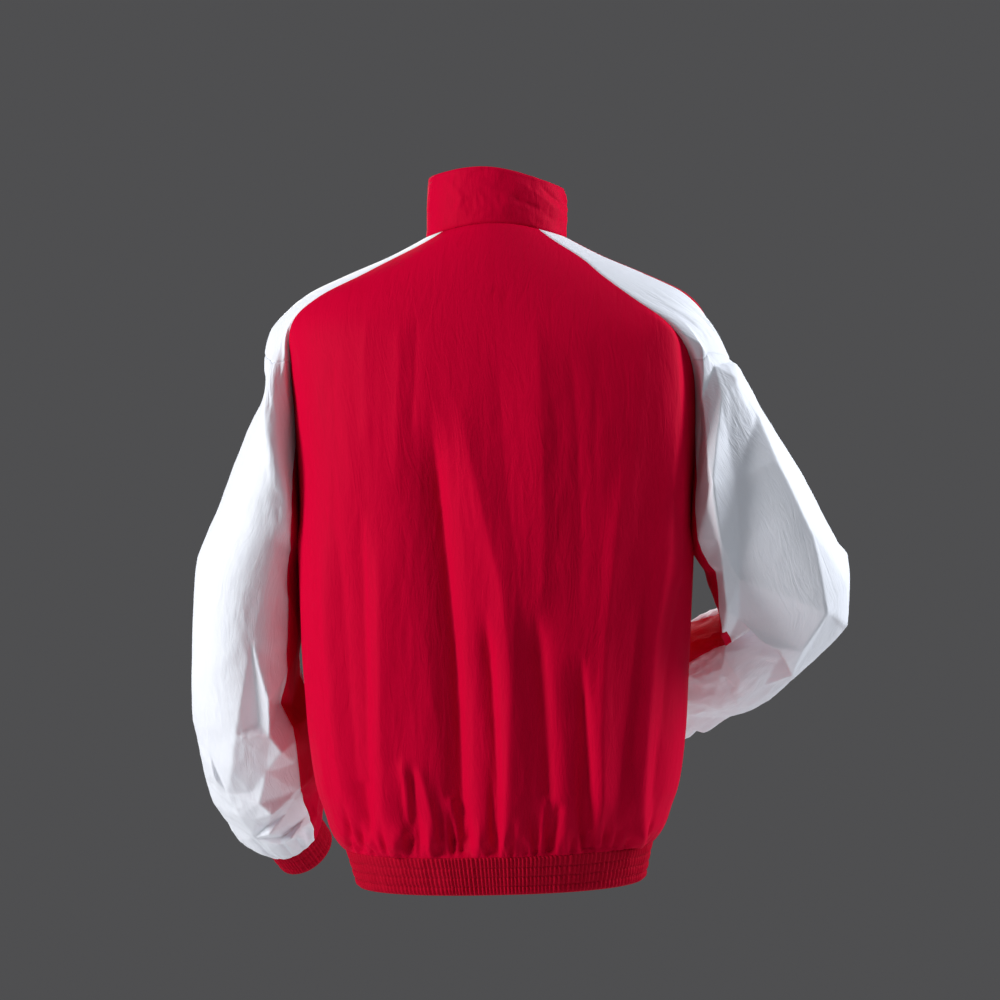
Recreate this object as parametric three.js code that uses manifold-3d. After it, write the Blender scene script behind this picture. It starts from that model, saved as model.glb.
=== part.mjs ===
// A zipped windbreaker jacket in thin nylon, hollow and filled out as it is worn: the left arm hangs,
// the right arm is bent with the hand brought round to the front.
// Millimetres, +Z up, +X to the wearer's left, +Y to the wearer's back.
// The origin is the middle of the neck opening, level with the shoulder ends of the collar seam.
import * as THREE from "three";
import { mergeVertices } from "three/addons/utils/BufferGeometryUtils.js";
import Module from "manifold-3d";

// Driving sizes of the cloth and its seams.
const CLOTH = 1.5; // wall of every cloth piece
const SEAM = 0.3; // gap between two pieces that are sewn together
const NECK_DROP = 2; // side height of the collar seam, below the origin
const DROP_SEAM = 130; // side height of the seam between the shoulder piece and the sleeve
const ARMPIT_DROP = 330; // side height of the armpit
const HEM_DROP = 637; // side height of the waistband seam
const WRIST_STATION = 785; // station of the cuff seam down the arm
const COLLAR_HEIGHT = 58;
const WAISTBAND_HEIGHT = 38;
const CUFF_HEIGHT = 30;

// Elastic bands: each rib is one gather of the cloth over the elastic.
const WAISTBAND_RIBS = 104;
const CUFF_RIBS = 32;
const RIB_DEPTH = 1.5;

// The zip at the centre front.
const ZIP_GAP = 9; // between the two front edges
const TAPE_WIDTH = 14;
const TAPE_THICKNESS = 1;
const CHAIN_WIDTH = 6;
const CHAIN_THICKNESS = 2;
const CHAIN_SET_BACK = 0.2; // its face below the face of the cloth
const CHAIN_END = 0.93; // share of the collar's height
const SLIDER_LENGTH = 11;
const SLIDER_WIDTH = 8;
const PULL_LENGTH = 22;
const PULL_WIDTH = 4.4;
const PULL_THICKNESS = 1.2;
const PIN_RADIUS = 0.6;

const RED = 0xc4002c;
const WHITE = 0xe9ecf6;
const TAPE_RED = 0x9c0424;
const METAL = 0xb9bcc2;

// Names the columns of a table of numbers, one object for each row.
function table(columns, rows) {
  const names = columns.split(" ");
  return rows.map((row) => Object.fromEntries(names.map((name, i) => [name, row[i]])));
}

// Reads one column of a table at any key by a smooth curve through its rows (Catmull-Rom, uneven spacing).
function read(rows, key, name, at) {
  const last = rows.length - 1;
  const clamped = Math.min(Math.max(at, rows[0][key]), rows[last][key]);
  let i = 0;
  while (i < last - 1 && clamped > rows[i + 1][key]) i += 1;
  const slope = (k) => {
    const a = rows[Math.max(k - 1, 0)];
    const b = rows[Math.min(k + 1, last)];
    return (b[name] - a[name]) / (b[key] - a[key]);
  };
  const [low, high] = [rows[i], rows[i + 1]];
  const span = high[key] - low[key];
  const t = (clamped - low[key]) / span;
  const fall = (1 - t) * (1 - t);
  return (
    low[name] * (1 + 2 * t) * fall +
    slope(i) * span * t * fall +
    high[name] * t * t * (3 - 2 * t) -
    slope(i + 1) * span * t * t * (1 - t)
  );
}

function smooth(low, high, x) {
  const t = Math.min(Math.max((x - low) / (high - low), 0), 1);
  return t * t * (3 - 2 * t);
}

const radians = (degrees) => (degrees * Math.PI) / 180;

// Body sections. drop is the height of the section's side below the origin, back and front are the heights
// of its middle back and middle front, square is 2 for an ellipse and more for a squarer shape, shift moves
// the section sideways and tilt is how far its wearer's right side is raised.
const BODY = table("drop back front halfWidth backDepth frontDepth square shift tilt", [
  [2, 9, -68, 73, 60, 76, 2, 0, 0],
  [22, -25, -88, 112, 84, 90, 2, 0, 0],
  [41, -58, -106, 157, 100, 101, 2, 0, 0],
  [62, -90, -124, 200, 112, 110, 2, 0, 0],
  [90, -122, -146, 220, 120, 117, 2.2, 0, 0],
  [130, -160, -172, 220, 125, 124, 2.35, 0, 0],
  [185, -205, -208, 215, 128, 131, 2.45, 0, 0],
  [245, -255, -255, 210, 128, 136, 2.5, 0, 0],
  [330, -330, -330, 206, 127, 139, 2.5, 0, 0],
  [400, -400, -400, 203, 125, 140, 2.5, 0, 0],
  [460, -460, -460, 200, 124, 140, 2.5, 0, 0],
  [520, -520, -520, 196, 126, 141, 2.5, -1, 1],
  [575, -575, -575, 188, 128, 141, 2.4, -2, 3],
  [606, -606, -606, 179, 125, 136, 2.3, -3, 4],
  [625, -625, -625, 171, 120, 129, 2.3, -4, 5],
  [637, -637, -637, 163, 115, 124, 2.3, -5, 5],
]);

// The edges of the back and front panels on each side, in degrees round from the middle back:
// the raglan seam down to the shoulder, then the armhole down to the armpit.
const LEFT_EDGES = table("drop back front", [
  [2, 51, 104],
  [22, 66, 110],
  [41, 69.5, 112],
  [62, 74, 112],
  [90, 78.5, 110],
  [130, 79, 106],
  [185, 79, 104],
  [245, 80, 103],
  [275, 80.5, 102],
  [308, 82, 100],
  [330, 90, 90],
]);
const RIGHT_EDGES = table("drop back front", [
  [2, 46, 79],
  [22, 57, 82],
  [41, 58, 83],
  [62, 61, 84],
  [90, 67, 86],
  [130, 74, 94],
  [185, 78, 103],
  [245, 80, 103],
  [275, 80.5, 102],
  [308, 82, 100],
  [330, 90, 90],
]);

// Long soft folds of the body cloth. angle is the fold's place round from the middle back, top and foot are
// the drops where it fades, lean is how far it turns on its way down, width is in degrees and depth in
// millimetres, a trough below zero.
const BODY_FOLDS = table("angle lean top foot width depth", [
  [17, -9, 300, 640, 7, -7],
  [7, -3, 380, 640, 4, 4],
  [-2, 0, 430, 640, 3.2, -5],
  [-12, 0, 330, 640, 6, 5],
  [-24, 0, 260, 640, 6, -5],
  [-38, 2, 480, 640, 4, -5],
  [-46, 0, 430, 640, 5, 3],
  [-60, 0, 420, 640, 5, -3],
  [45, 0, 240, 640, 9, 4],
  [33, 0, 560, 640, 4, -4],
  [61, 4, 160, 520, 8, -3],
  [-73, 0, 110, 460, 4.5, -8],
  [122, 0, 300, 640, 8, -5],
  [138, -3, 380, 640, 7, 4],
  [155, 2, 430, 640, 6, -5],
  [-118, 0, 280, 640, 8, -5],
  [-136, 3, 400, 640, 7, 4],
  [-157, -2, 440, 640, 6, -4],
  [100, 0, 400, 640, 6, 3],
  [-100, 0, 400, 640, 6, 3],
]);

// Gathers above the waistband: two waves of different counts make them uneven.
const GATHERS = { count: 23, second: 14, depth: 3.4, top: 500, pinned: 0.45 };

function bodyFold(angle, drop) {
  const degrees = (angle * 180) / Math.PI;
  let sum = 0;
  for (const fold of BODY_FOLDS) {
    const down = (drop - fold.top) / (fold.foot - fold.top);
    const place = fold.angle + fold.lean * (0.5 - down);
    const away = (degrees - place) / fold.width;
    sum += fold.depth * Math.exp(-away * away) * smooth(fold.top, fold.top + 120, drop);
  }
  const wave = Math.sin(GATHERS.count * angle + 1.3) + 0.7 * Math.sin(GATHERS.second * angle + 0.4);
  const pinch = 1 - GATHERS.pinned * smooth(600, HEM_DROP, drop);
  const clearOfZip = smooth(171, 160, Math.abs(degrees));
  sum += GATHERS.depth * wave * smooth(GATHERS.top, 610, drop);
  return sum * pinch * clearOfZip;
}

// A point of the body's outer face: a polar superellipse at each section, tipped down to the front at the
// neck, with the folds added straight outwards.
function bodyPoint(angle, drop, lift = 0) {
  const get = (name) => read(BODY, "drop", name, drop);
  const [s, c] = [Math.sin(angle), Math.cos(angle)];
  const depth = c > 0 ? get("backDepth") : get("frontDepth");
  const power = get("square");
  const inverse = Math.abs(s / get("halfWidth")) ** power + Math.abs(c / depth) ** power;
  const radius = inverse ** (-1 / power) + bodyFold(angle, drop) + lift;
  const x = get("shift") + radius * s;
  const side = -drop - (get("tilt") * x) / get("halfWidth");
  const middle = c > 0 ? get("back") : get("front");
  return new THREE.Vector3(x, radius * c, side + (middle + drop) * c * c);
}

// The outward normal of a surface point(a, b), by small steps along both of its directions.
function normalOf(point, a, b, stepA, stepB, turn) {
  const along = point(a + stepA, b).sub(point(a - stepA, b));
  const down = point(a, b + stepB).sub(point(a, b - stepB));
  return along.cross(down).multiplyScalar(turn).normalize();
}

const bodyNormal = (angle, drop) => normalOf(bodyPoint, angle, drop, 0.01, 1, 1);

// Half the seam gap, as an angle at a body section.
function halfGap(drop) {
  return SEAM / 2 / (0.8 * read(BODY, "drop", "halfWidth", drop));
}

// Arm sections: the tube's centre, outX being the distance outwards from the body's middle, its half-size
// away from the body, its half-size front to back, and how many degrees the cloth is twisted round it.
// Stations down to the armpit are body drops.
const LEFT_ARM = table("station outX y z across deep twist", [
  [66, 180, 2, -94, 50, 60, 0],
  [104, 194, 2, -118, 58, 66, 0],
  [160, 197, 2, -168, 41, 71, 0],
  [230, 215, 0, -218, 47, 74, 0],
  [330, 247, -7, -301, 46, 74, 0],
  [365, 257, -11, -334, 50, 74, 0],
  [400, 263, -16, -367, 53, 73, 0],
  [460, 266, -26, -420, 55, 72, 0],
  [520, 268, -48, -475, 58, 70, 0],
  [580, 269, -80, -524, 60, 66, 0],
  [640, 268, -114, -566, 60, 62, 0],
  [700, 264, -145, -601, 56, 56, 0],
  [750, 255, -172, -630, 49, 47, 0],
  [785, 243, -191, -653, 35, 37, 0],
]);
const RIGHT_ARM = table("station outX y z across deep twist", [
  [66, 172, 2, -95, 50, 62, 0],
  [104, 186, 2, -112, 54, 68, 0],
  [160, 190, 2, -150, 60, 74, 0],
  [230, 217, 0, -209, 68, 77, 0],
  [330, 266, -2, -296, 68, 76, 0],
  [365, 283, -4, -325, 67, 76, -6],
  [400, 298, -8, -350, 66, 74, -12],
  [430, 307, -16, -372, 62, 68, -17],
  [460, 307, -32, -392, 58, 58, -20],
  [520, 293, -76, -420, 56, 51, -20],
  [580, 266, -118, -443, 58, 54, -20],
  [640, 236, -160, -461, 58, 59, -20],
  [700, 203, -198, -479, 54, 53, -20],
  [750, 172, -231, -494, 46, 45, -20],
  [785, 150, -252, -504, 35, 37, -20],
]);

// Sleeve folds. from and to are places round the sleeve (-1 and 1 under the arm, -0.5 its back, 0 its outer
// side, 0.5 its front) and stations down the arm, width and depth are in millimetres.
const LEFT_SLEEVE_FOLDS = table("fromRound fromStation toRound toStation width depth", [
  [-0.15, 150, -0.1, 420, 16, 3],
  [-0.62, 180, -0.66, 400, 12, -5],
  [-0.4, 620, -0.75, 560, 12, -9],
  [-0.45, 590, -0.8, 610, 11, 8],
  [-0.35, 670, -0.75, 640, 11, -9],
  [-0.4, 655, -0.8, 690, 10, 7],
  [-0.25, 725, -0.75, 700, 10, -7],
  [-0.2, 755, -0.8, 740, 9, 6],
  [0.4, 560, 0.8, 600, 14, -6],
  [0.35, 640, 0.8, 660, 12, -6],
  [0.2, 735, 0.7, 720, 10, -6],
  [-0.1, 740, 0.2, 755, 10, -4],
]);
const RIGHT_SLEEVE_FOLDS = table("fromRound fromStation toRound toStation width depth", [
  [-0.52, 120, -0.62, 470, 13, -8],
  [-0.42, 200, -0.48, 480, 12, 6],
  [-0.12, 110, -0.2, 460, 14, 4],
  [-0.3, 150, -0.3, 440, 14, -3],
  [-0.85, 490, -0.45, 505, 12, 11],
  [-0.9, 520, -0.4, 528, 12, -12],
  [-0.3, 560, -0.6, 640, 12, -4],
  [0.1, 470, -0.3, 520, 14, 4],
  [0.5, 470, 0.9, 500, 14, 8],
  [0.5, 520, 0.95, 530, 14, -10],
  [0.3, 700, -0.6, 720, 12, -5],
  [0.2, 745, -0.7, 755, 9, 4],
]);
const CUFF_GATHERS = { count: 8, depth: 2.2, top: 700, full: 760 };
const HALF_ROUND = 205; // mean length of half the sleeve's girth, turns round into millimetres

function sleeveFold(folds, round, station) {
  let sum = 0;
  for (const fold of folds) {
    const [ax, ay] = [fold.fromRound * HALF_ROUND, fold.fromStation];
    const [bx, by] = [fold.toRound * HALF_ROUND, fold.toStation];
    const [dx, dy] = [bx - ax, by - ay];
    for (const across of [round * HALF_ROUND, (round - 2) * HALF_ROUND, (round + 2) * HALF_ROUND]) {
      const share = ((across - ax) * dx + (station - ay) * dy) / (dx * dx + dy * dy);
      const t = Math.min(Math.max(share, 0), 1);
      const away = Math.hypot(across - ax - t * dx, station - ay - t * dy) / fold.width;
      sum += fold.depth * Math.exp(-away * away);
    }
  }
  const wave = Math.sin(CUFF_GATHERS.count * Math.PI * round) * CUFF_GATHERS.depth;
  return sum + wave * smooth(CUFF_GATHERS.top, CUFF_GATHERS.full, station);
}

// Stations of the sleeve: the red panel under the arm begins on the armhole and is full at the armpit.
const PANEL_TOP = 195;
const PANEL_SHARE = 0.16; // of half the sleeve's round
const FRAME_STEP = 5;

// One arm of the jacket: side is +1 on the wearer's left.
function makeArm(side, arm, folds, edges) {
  const get = (name, station) => read(arm, "station", name, station);
  const first = arm[0].station;
  const last = arm[arm.length - 1].station;
  const centreAt = (at) => new THREE.Vector3(side * get("outX", at), get("y", at), get("z", at));

  // The angle of a panel edge on the body, moved half a seam gap on to the sleeve's side or the panel's.
  function edge(name, drop, onSleeve) {
    const middle = drop < ARMPIT_DROP ? radians(read(edges, "drop", name, drop)) : Math.PI / 2;
    const towardsSleeve = name === "back" ? 1 : -1;
    return side * (middle + halfGap(drop) * towardsSleeve * (onSleeve ? 1 : -1));
  }

  // The tube's directions at even steps, each turned from the one before by the least that the bend needs.
  const backs = [];
  for (let at = first; at <= last + FRAME_STEP; at += FRAME_STEP) {
    const before = backs.length ? backs[backs.length - 1] : new THREE.Vector3(0, 1, 0);
    const down = downAt(at);
    backs.push(before.clone().addScaledVector(down, -down.dot(before)).normalize());
  }

  function downAt(station) {
    const [before, after] = [Math.max(station - 12, first), Math.min(station + 12, last)];
    return centreAt(after).sub(centreAt(before)).normalize();
  }

  function frame(station) {
    const down = downAt(station);
    const place = Math.min(Math.max((station - first) / FRAME_STEP, 0), backs.length - 2);
    const i = Math.floor(place);
    const back = backs[i].clone().lerp(backs[i + 1], place - i);
    back.addScaledVector(down, -down.dot(back)).normalize();
    const out = new THREE.Vector3().crossVectors(down, back).multiplyScalar(side);
    return { centre: centreAt(station), down, back, out };
  }

  // A point of the free tube, round running from -1 under the arm by the back and the front to 1.
  function tubePoint(round, station, spread) {
    const { centre, back, out } = frame(station);
    const turn = round * spread + radians(get("twist", station));
    const radial = out.clone().multiplyScalar(Math.cos(turn)).addScaledVector(back, -Math.sin(turn));
    const calm = smooth(60, 150, station) * (1 - 0.8 * smooth(765, WRIST_STATION, station));
    return centre
      .addScaledVector(out, get("across", station) * Math.cos(turn))
      .addScaledVector(back, -get("deep", station) * Math.sin(turn))
      .addScaledVector(radial, sleeveFold(folds, round, station) * calm);
  }

  // How strongly each end of the section draws the cloth beside it in to the armhole.
  function nearEnds(round, station) {
    const from = 0.65 * smooth(DROP_SEAM, 300, station) - 0.1;
    return [smooth(from, 1, -round), smooth(from, 1, round)];
  }
  const armpit = bodyPoint((side * Math.PI) / 2, ARMPIT_DROP).add(new THREE.Vector3(side * SEAM * 2, 0, 0));
  const armpitSlip = armpit.sub(tubePoint(1, ARMPIT_DROP, Math.PI));

  // A point of the raglan sleeve. Above the shoulder it lies on the body, between the panels' edges. Round
  // the shoulder it turns into the tube, whose ends are drawn in to the armhole. Below the armpit it is free.
  function point(anyRound, station) {
    const round = anyRound > 1 ? anyRound - 2 : anyRound;
    const near = nearEnds(round, station);
    if (station >= ARMPIT_DROP) {
      const hold = (near[0] + near[1]) * smooth(ARMPIT_DROP + 110, ARMPIT_DROP, station);
      return tubePoint(round, station, Math.PI).addScaledVector(armpitSlip, hold);
    }
    const [fromEdge, toEdge] = [edge("back", station, true), edge("front", station, true)];
    const share = (round + 1) / 2;
    const onBody = bodyPoint(fromEdge + (toEdge - fromEdge) * share, station);
    const free = smooth(62, 160, station);
    if (free === 0) return onBody;
    const spread = radians(95 + 85 * smooth(62, ARMPIT_DROP, station));
    const onTube = tubePoint(round, station, spread);
    const ends = [bodyPoint(fromEdge, station), bodyPoint(toEdge, station)];
    const slips = [ends[0].sub(tubePoint(-1, station, spread)), ends[1].sub(tubePoint(1, station, spread))];
    onTube.addScaledVector(slips[0], near[0]).addScaledVector(slips[1], near[1]);
    return onBody.lerp(onTube, free);
  }

  const normal = (round, station) => normalOf(point, round, station, 0.01, 1.5, side);

  // The direction of the wall at the armhole: halfway between the sleeve's face and the body's, and longer
  // where they turn away from each other.
  function mitre(round, station) {
    const onBody = bodyNormal(edge(round < 0 ? "back" : "front", station, true), station);
    const inside = round * (1 - 0.02);
    const half = normal(inside, station).add(onBody);
    return half.multiplyScalar(Math.min(2, 1 / (half.length() / 2)) / half.length());
  }
  return { side, edge, frame, point, normal, mitre };
}

const leftArm = makeArm(1, LEFT_ARM, LEFT_SLEEVE_FOLDS, LEFT_EDGES);
const rightArm = makeArm(-1, RIGHT_ARM, RIGHT_SLEEVE_FOLDS, RIGHT_EDGES);

// Section heights shared by every piece that meets at the raglan seams and armholes, so that edges match.
const RAGLAN_DROPS = [NECK_DROP, 14, 30, 48, 66, 86, 106, DROP_SEAM, 160, 195, 235, 275, 308, ARMPIT_DROP];
const SKIRT_DROPS = [372, 420, 470, 520, 556, 584, 604, 620, HEM_DROP];
const BODY_DROPS = [...RAGLAN_DROPS, ...SKIRT_DROPS];
const ARM_STATIONS = [
  365, 400, 430, 460, 484, 506, 528, 552, 580, 608, 638, 668, 696, 722, 745, 766, WRIST_STATION,
];

// A closed wall from a grid of outer points and their normals: outer face, inner face and the rims.
// A ring closes on itself across the columns.
function wall(grid, thickness, ring = false) {
  const rows = grid.length;
  const columns = grid[0].length;
  const positions = [];
  for (const inner of [0, 1]) {
    for (const row of grid) {
      for (const { point, normal } of row) {
        positions.push(...point.clone().addScaledVector(normal, -inner * thickness).toArray());
      }
    }
  }
  const index = [];
  const at = (layer, i, j) => layer * rows * columns + i * columns + (j % columns);
  const quad = (a, b, c, d) => index.push(a, b, c, a, c, d);
  const lastColumn = ring ? columns : columns - 1;
  for (let i = 0; i < rows - 1; i += 1) {
    for (let j = 0; j < lastColumn; j += 1) {
      quad(at(0, i, j), at(0, i + 1, j), at(0, i + 1, j + 1), at(0, i, j + 1));
      quad(at(1, i, j), at(1, i, j + 1), at(1, i + 1, j + 1), at(1, i + 1, j));
    }
  }
  for (let j = 0; j < lastColumn; j += 1) {
    quad(at(0, 0, j), at(0, 0, j + 1), at(1, 0, j + 1), at(1, 0, j));
    quad(at(0, rows - 1, j), at(1, rows - 1, j), at(1, rows - 1, j + 1), at(0, rows - 1, j + 1));
  }
  for (let i = 0; !ring && i < rows - 1; i += 1) {
    quad(at(0, i, 0), at(1, i, 0), at(1, i + 1, 0), at(0, i + 1, 0));
    quad(at(0, i, columns - 1), at(0, i + 1, columns - 1), at(1, i + 1, columns - 1), at(1, i, columns - 1));
  }
  const geometry = new THREE.BufferGeometry();
  geometry.setAttribute("position", new THREE.Float32BufferAttribute(positions, 3));
  geometry.setIndex(index);
  geometry.computeVertexNormals();
  return geometry;
}

const jacket = new THREE.Group();

function add(name, geometry, color, roughness = 0.6, metalness = 0, parent = jacket) {
  const material = new THREE.MeshStandardMaterial({ color, roughness, metalness });
  const mesh = new THREE.Mesh(geometry, material);
  mesh.name = name;
  parent.add(mesh);
  return mesh;
}

const steps = (count) => Array.from({ length: count + 1 }, (_, i) => i / count);

// A body panel between two edges, each an angle for every drop. Columns run anticlockwise from above.
function bodyPanel(columns, fromEdge, toEdge) {
  const grid = BODY_DROPS.map((drop) => {
    const from = fromEdge(drop);
    const to = toEdge(drop);
    return steps(columns).map((share) => {
      const angle = from + (to - from) * share;
      return { point: bodyPoint(angle, drop), normal: bodyNormal(angle, drop) };
    });
  });
  return wall(grid, CLOTH);
}

// The front edge beside the zip, as an angle at a body section.
function zipEdge(side, drop, distance) {
  return side * (Math.PI - distance / read(BODY, "drop", "frontDepth", drop));
}

const BACK_COLUMNS = 35;
const FRONT_COLUMNS = 18;

add(
  "back",
  bodyPanel(
    BACK_COLUMNS,
    (drop) => leftArm.edge("back", drop, false),
    (drop) => rightArm.edge("back", drop, false),
  ),
  RED,
);
add(
  "front_left",
  bodyPanel(
    FRONT_COLUMNS,
    (drop) => zipEdge(1, drop, ZIP_GAP / 2),
    (drop) => leftArm.edge("front", drop, false),
  ),
  RED,
);
add(
  "front_right",
  bodyPanel(
    FRONT_COLUMNS,
    (drop) => rightArm.edge("front", drop, false),
    (drop) => zipEdge(-1, drop, ZIP_GAP / 2),
  ),
  RED,
);

// Half the seam gap, as a share of the sleeve's round.
const ROUND_GAP = SEAM / 2 / HALF_ROUND;

// How far round the white piece reaches: up to the armhole, then less as the red panel widens below.
const whiteReach = (station) => 1 - PANEL_SHARE * smooth(PANEL_TOP, ARMPIT_DROP, station);

// One vertex of a sleeve piece. On the armhole its wall is mitred with the body's.
function sleeveVertex(arm, round, station) {
  const onArmhole = station < ARMPIT_DROP + 3 && Math.abs(round) === 1;
  const clear = Math.min(station, WRIST_STATION - 2);
  const normal = onArmhole ? arm.mitre(round, station) : arm.normal(round, clear);
  return { point: arm.point(round, station), normal };
}

const inOrder = (arm, row) => (arm.side > 0 ? row.reverse() : row);

function whitePiece(arm, stations) {
  const grid = stations.map((station) => {
    const reach = station > PANEL_TOP ? whiteReach(station) - ROUND_GAP : 1;
    const row = steps(SLEEVE_COLUMNS).map((share) => sleeveVertex(arm, reach * (2 * share - 1), station));
    return inOrder(arm, row);
  });
  return wall(grid, CLOTH);
}

// The red panel under the arm. Its upper edge runs down the armhole at the front, round the armpit and up
// the back, one column for each section there, so its columns start at different stations.
const PANEL_MERGE = 460; // from here down its rows are level
const PANEL_STARTS = [ARMPIT_DROP + 2, 308, 275, 235, PANEL_TOP];

function underPiece(arm, stations) {
  const sideColumns = PANEL_STARTS.length - 1;
  const grid = stations.map((level) => {
    const row = [];
    for (let column = -sideColumns; column <= sideColumns; column += 1) {
      const fromMiddle = Math.abs(column);
      const start = PANEL_STARTS[fromMiddle];
      const down = (level - PANEL_TOP) / (PANEL_MERGE - PANEL_TOP);
      const station = level < PANEL_MERGE ? start + down * (PANEL_MERGE - start) : level;
      const even = 1 - fromMiddle / sideColumns;
      const settled = fromMiddle === sideColumns ? 1 : smooth(start, start + 90, station);
      const share = 1 + (even - 1) * settled;
      const seam = Math.min(whiteReach(station) + ROUND_GAP, 1);
      const reach = station === start ? 1 : seam + (1 - seam) * share;
      row.push(sleeveVertex(arm, column < 0 ? reach : -reach, station));
    }
    return inOrder(arm, row);
  });
  return wall(grid, CLOTH);
}

const SLEEVE_COLUMNS = 18;

for (const arm of [leftArm, rightArm]) {
  const sideName = arm.side > 0 ? "left" : "right";
  const saddleDrops = RAGLAN_DROPS.filter((drop) => drop < DROP_SEAM);
  const sleeveDrops = RAGLAN_DROPS.filter((drop) => drop > DROP_SEAM);
  const panelDrops = sleeveDrops.filter((drop) => drop >= PANEL_TOP);
  add("shoulder_" + sideName, whitePiece(arm, [...saddleDrops, DROP_SEAM - SEAM / 2]), WHITE);
  add("sleeve_" + sideName, whitePiece(arm, [DROP_SEAM + SEAM / 2, ...sleeveDrops, ...ARM_STATIONS]), WHITE);
  add("under_sleeve_" + sideName, underPiece(arm, [...panelDrops, ...ARM_STATIONS]), RED);
}

// The ribs of an elastic band at one place round it: 0 in a valley and 1 on a rib.
const rib = (column) => (column % 2 === 0 ? 0 : 1);

// Cuffs: ribbed elastic rings that carry on straight from the end of each sleeve.
const CUFF_HALF_WIDTH = 33.5;
const CUFF_HALF_DEPTH = 35.5;

for (const arm of [leftArm, rightArm]) {
  const { centre, down, back, out } = arm.frame(WRIST_STATION);
  const grid = [SEAM, CUFF_HEIGHT].map((along) => {
    const row = Array.from({ length: 2 * CUFF_RIBS }, (_, column) => {
      const turn = (column / (2 * CUFF_RIBS)) * 2 * Math.PI;
      const raised = rib(column) * RIB_DEPTH;
      const radial = out.clone().multiplyScalar(Math.cos(turn)).addScaledVector(back, -Math.sin(turn));
      const point = centre
        .clone()
        .addScaledVector(down, along)
        .addScaledVector(out, CUFF_HALF_WIDTH * Math.cos(turn))
        .addScaledVector(back, -CUFF_HALF_DEPTH * Math.sin(turn));
      return { point: point.addScaledVector(radial, raised), normal: radial, raised };
    });
    return arm.side > 0 ? row.reverse() : row;
  });
  add("cuff_" + (arm.side > 0 ? "left" : "right"), ribbedWall(grid, true), RED);
}

// A wall whose outer points are ribbed over a plain inside.
function ribbedWall(grid, ring) {
  const ribbed = grid.map((row) =>
    row.map(({ point, normal, raised }) => ({
      point,
      normal: normal.clone().multiplyScalar((CLOTH + raised) / CLOTH),
    })),
  );
  return wall(ribbed, CLOTH, ring);
}

// Waistband: one ribbed elastic band from zip to zip, a little narrower at its lower edge.
const WAISTBAND_INSET = 7;
const WAISTBAND_SHIFT = -3;
const WAISTBAND_PLAIN = radians(5); // beside the zip the band isn't gathered

function bandPoint(angle, down, lift) {
  const get = (name) => read(BODY, "drop", name, HEM_DROP);
  const share = down / WAISTBAND_HEIGHT;
  const inset = WAISTBAND_INSET * share;
  const [s, c] = [Math.sin(angle), Math.cos(angle)];
  const depth = (c > 0 ? get("backDepth") : get("frontDepth")) - inset;
  const power = get("square");
  const inverse = Math.abs(s / (get("halfWidth") - inset)) ** power + Math.abs(c / depth) ** power;
  const radius = inverse ** (-1 / power) + lift;
  const x = get("shift") + WAISTBAND_SHIFT * share + radius * s;
  return new THREE.Vector3(x, radius * c, -HEM_DROP - down - (get("tilt") * x) / get("halfWidth"));
}

const bandEdge = zipEdge(1, HEM_DROP, ZIP_GAP / 2);
const bandGrid = [SEAM, WAISTBAND_HEIGHT].map((down) =>
  steps(2 * WAISTBAND_RIBS).map((share, column) => {
    const angle = bandEdge * (1 - 2 * share);
    const fromZip = bandEdge - Math.abs(angle);
    const raised = rib(column) * RIB_DEPTH * smooth(0, WAISTBAND_PLAIN, fromZip);
    const normal = new THREE.Vector3(Math.sin(angle), Math.cos(angle), 0);
    return { point: bandPoint(angle, down, raised), normal, raised };
  }),
);
add("waistband", ribbedWall(bandGrid, false), RED);

// Stand collar: rises from the neck seam, drawn in a little at the top and lower at the wearer's right.
const COLLAR_ROWS = table("up inset", [
  [0, 0],
  [0.35, 1],
  [0.7, 3.5],
  [1, 6],
]);
const COLLAR_COLUMNS = 44;
const COLLAR_LEAN = 0.1;

function collarPoint(angle, { up, inset }) {
  const radial = new THREE.Vector3(Math.sin(angle), Math.cos(angle), 0);
  const forward = (1 - Math.cos(angle)) / 2;
  const height = SEAM * 2 + up * (COLLAR_HEIGHT - SEAM * 2) * (1 + COLLAR_LEAN * Math.sin(angle));
  return bodyPoint(angle, NECK_DROP)
    .addScaledVector(radial, -inset * (1 - 1.3 * forward))
    .add(new THREE.Vector3(0, 0, height));
}

const collarEdge = zipEdge(1, NECK_DROP, ZIP_GAP / 2);
const collarGrid = [...COLLAR_ROWS].reverse().map((row) =>
  steps(COLLAR_COLUMNS).map((share) => {
    const angle = collarEdge * (1 - 2 * share);
    return { point: collarPoint(angle, row), normal: new THREE.Vector3(Math.sin(angle), Math.cos(angle), 0) };
  }),
);
add("collar", wall(collarGrid, CLOTH), RED);

// The zip runs from the foot of the waistband to the top of the collar. A place on it is a distance
// sideways from the middle of the gap, at one of the rows of the cloth beside it.
const ZIP_ROWS = [
  ...[...COLLAR_ROWS].reverse().slice(0, -1).map((row) => ({
    depth: read(BODY, "drop", "frontDepth", NECK_DROP),
    point: (angle) => collarPoint(angle, row),
  })),
  ...BODY_DROPS.map((drop) => ({
    depth: read(BODY, "drop", "frontDepth", drop),
    point: (angle) => bodyPoint(angle, drop),
  })),
  {
    depth: read(BODY, "drop", "frontDepth", HEM_DROP),
    point: (angle) => bandPoint(angle, WAISTBAND_HEIGHT, 0),
  },
];

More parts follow.
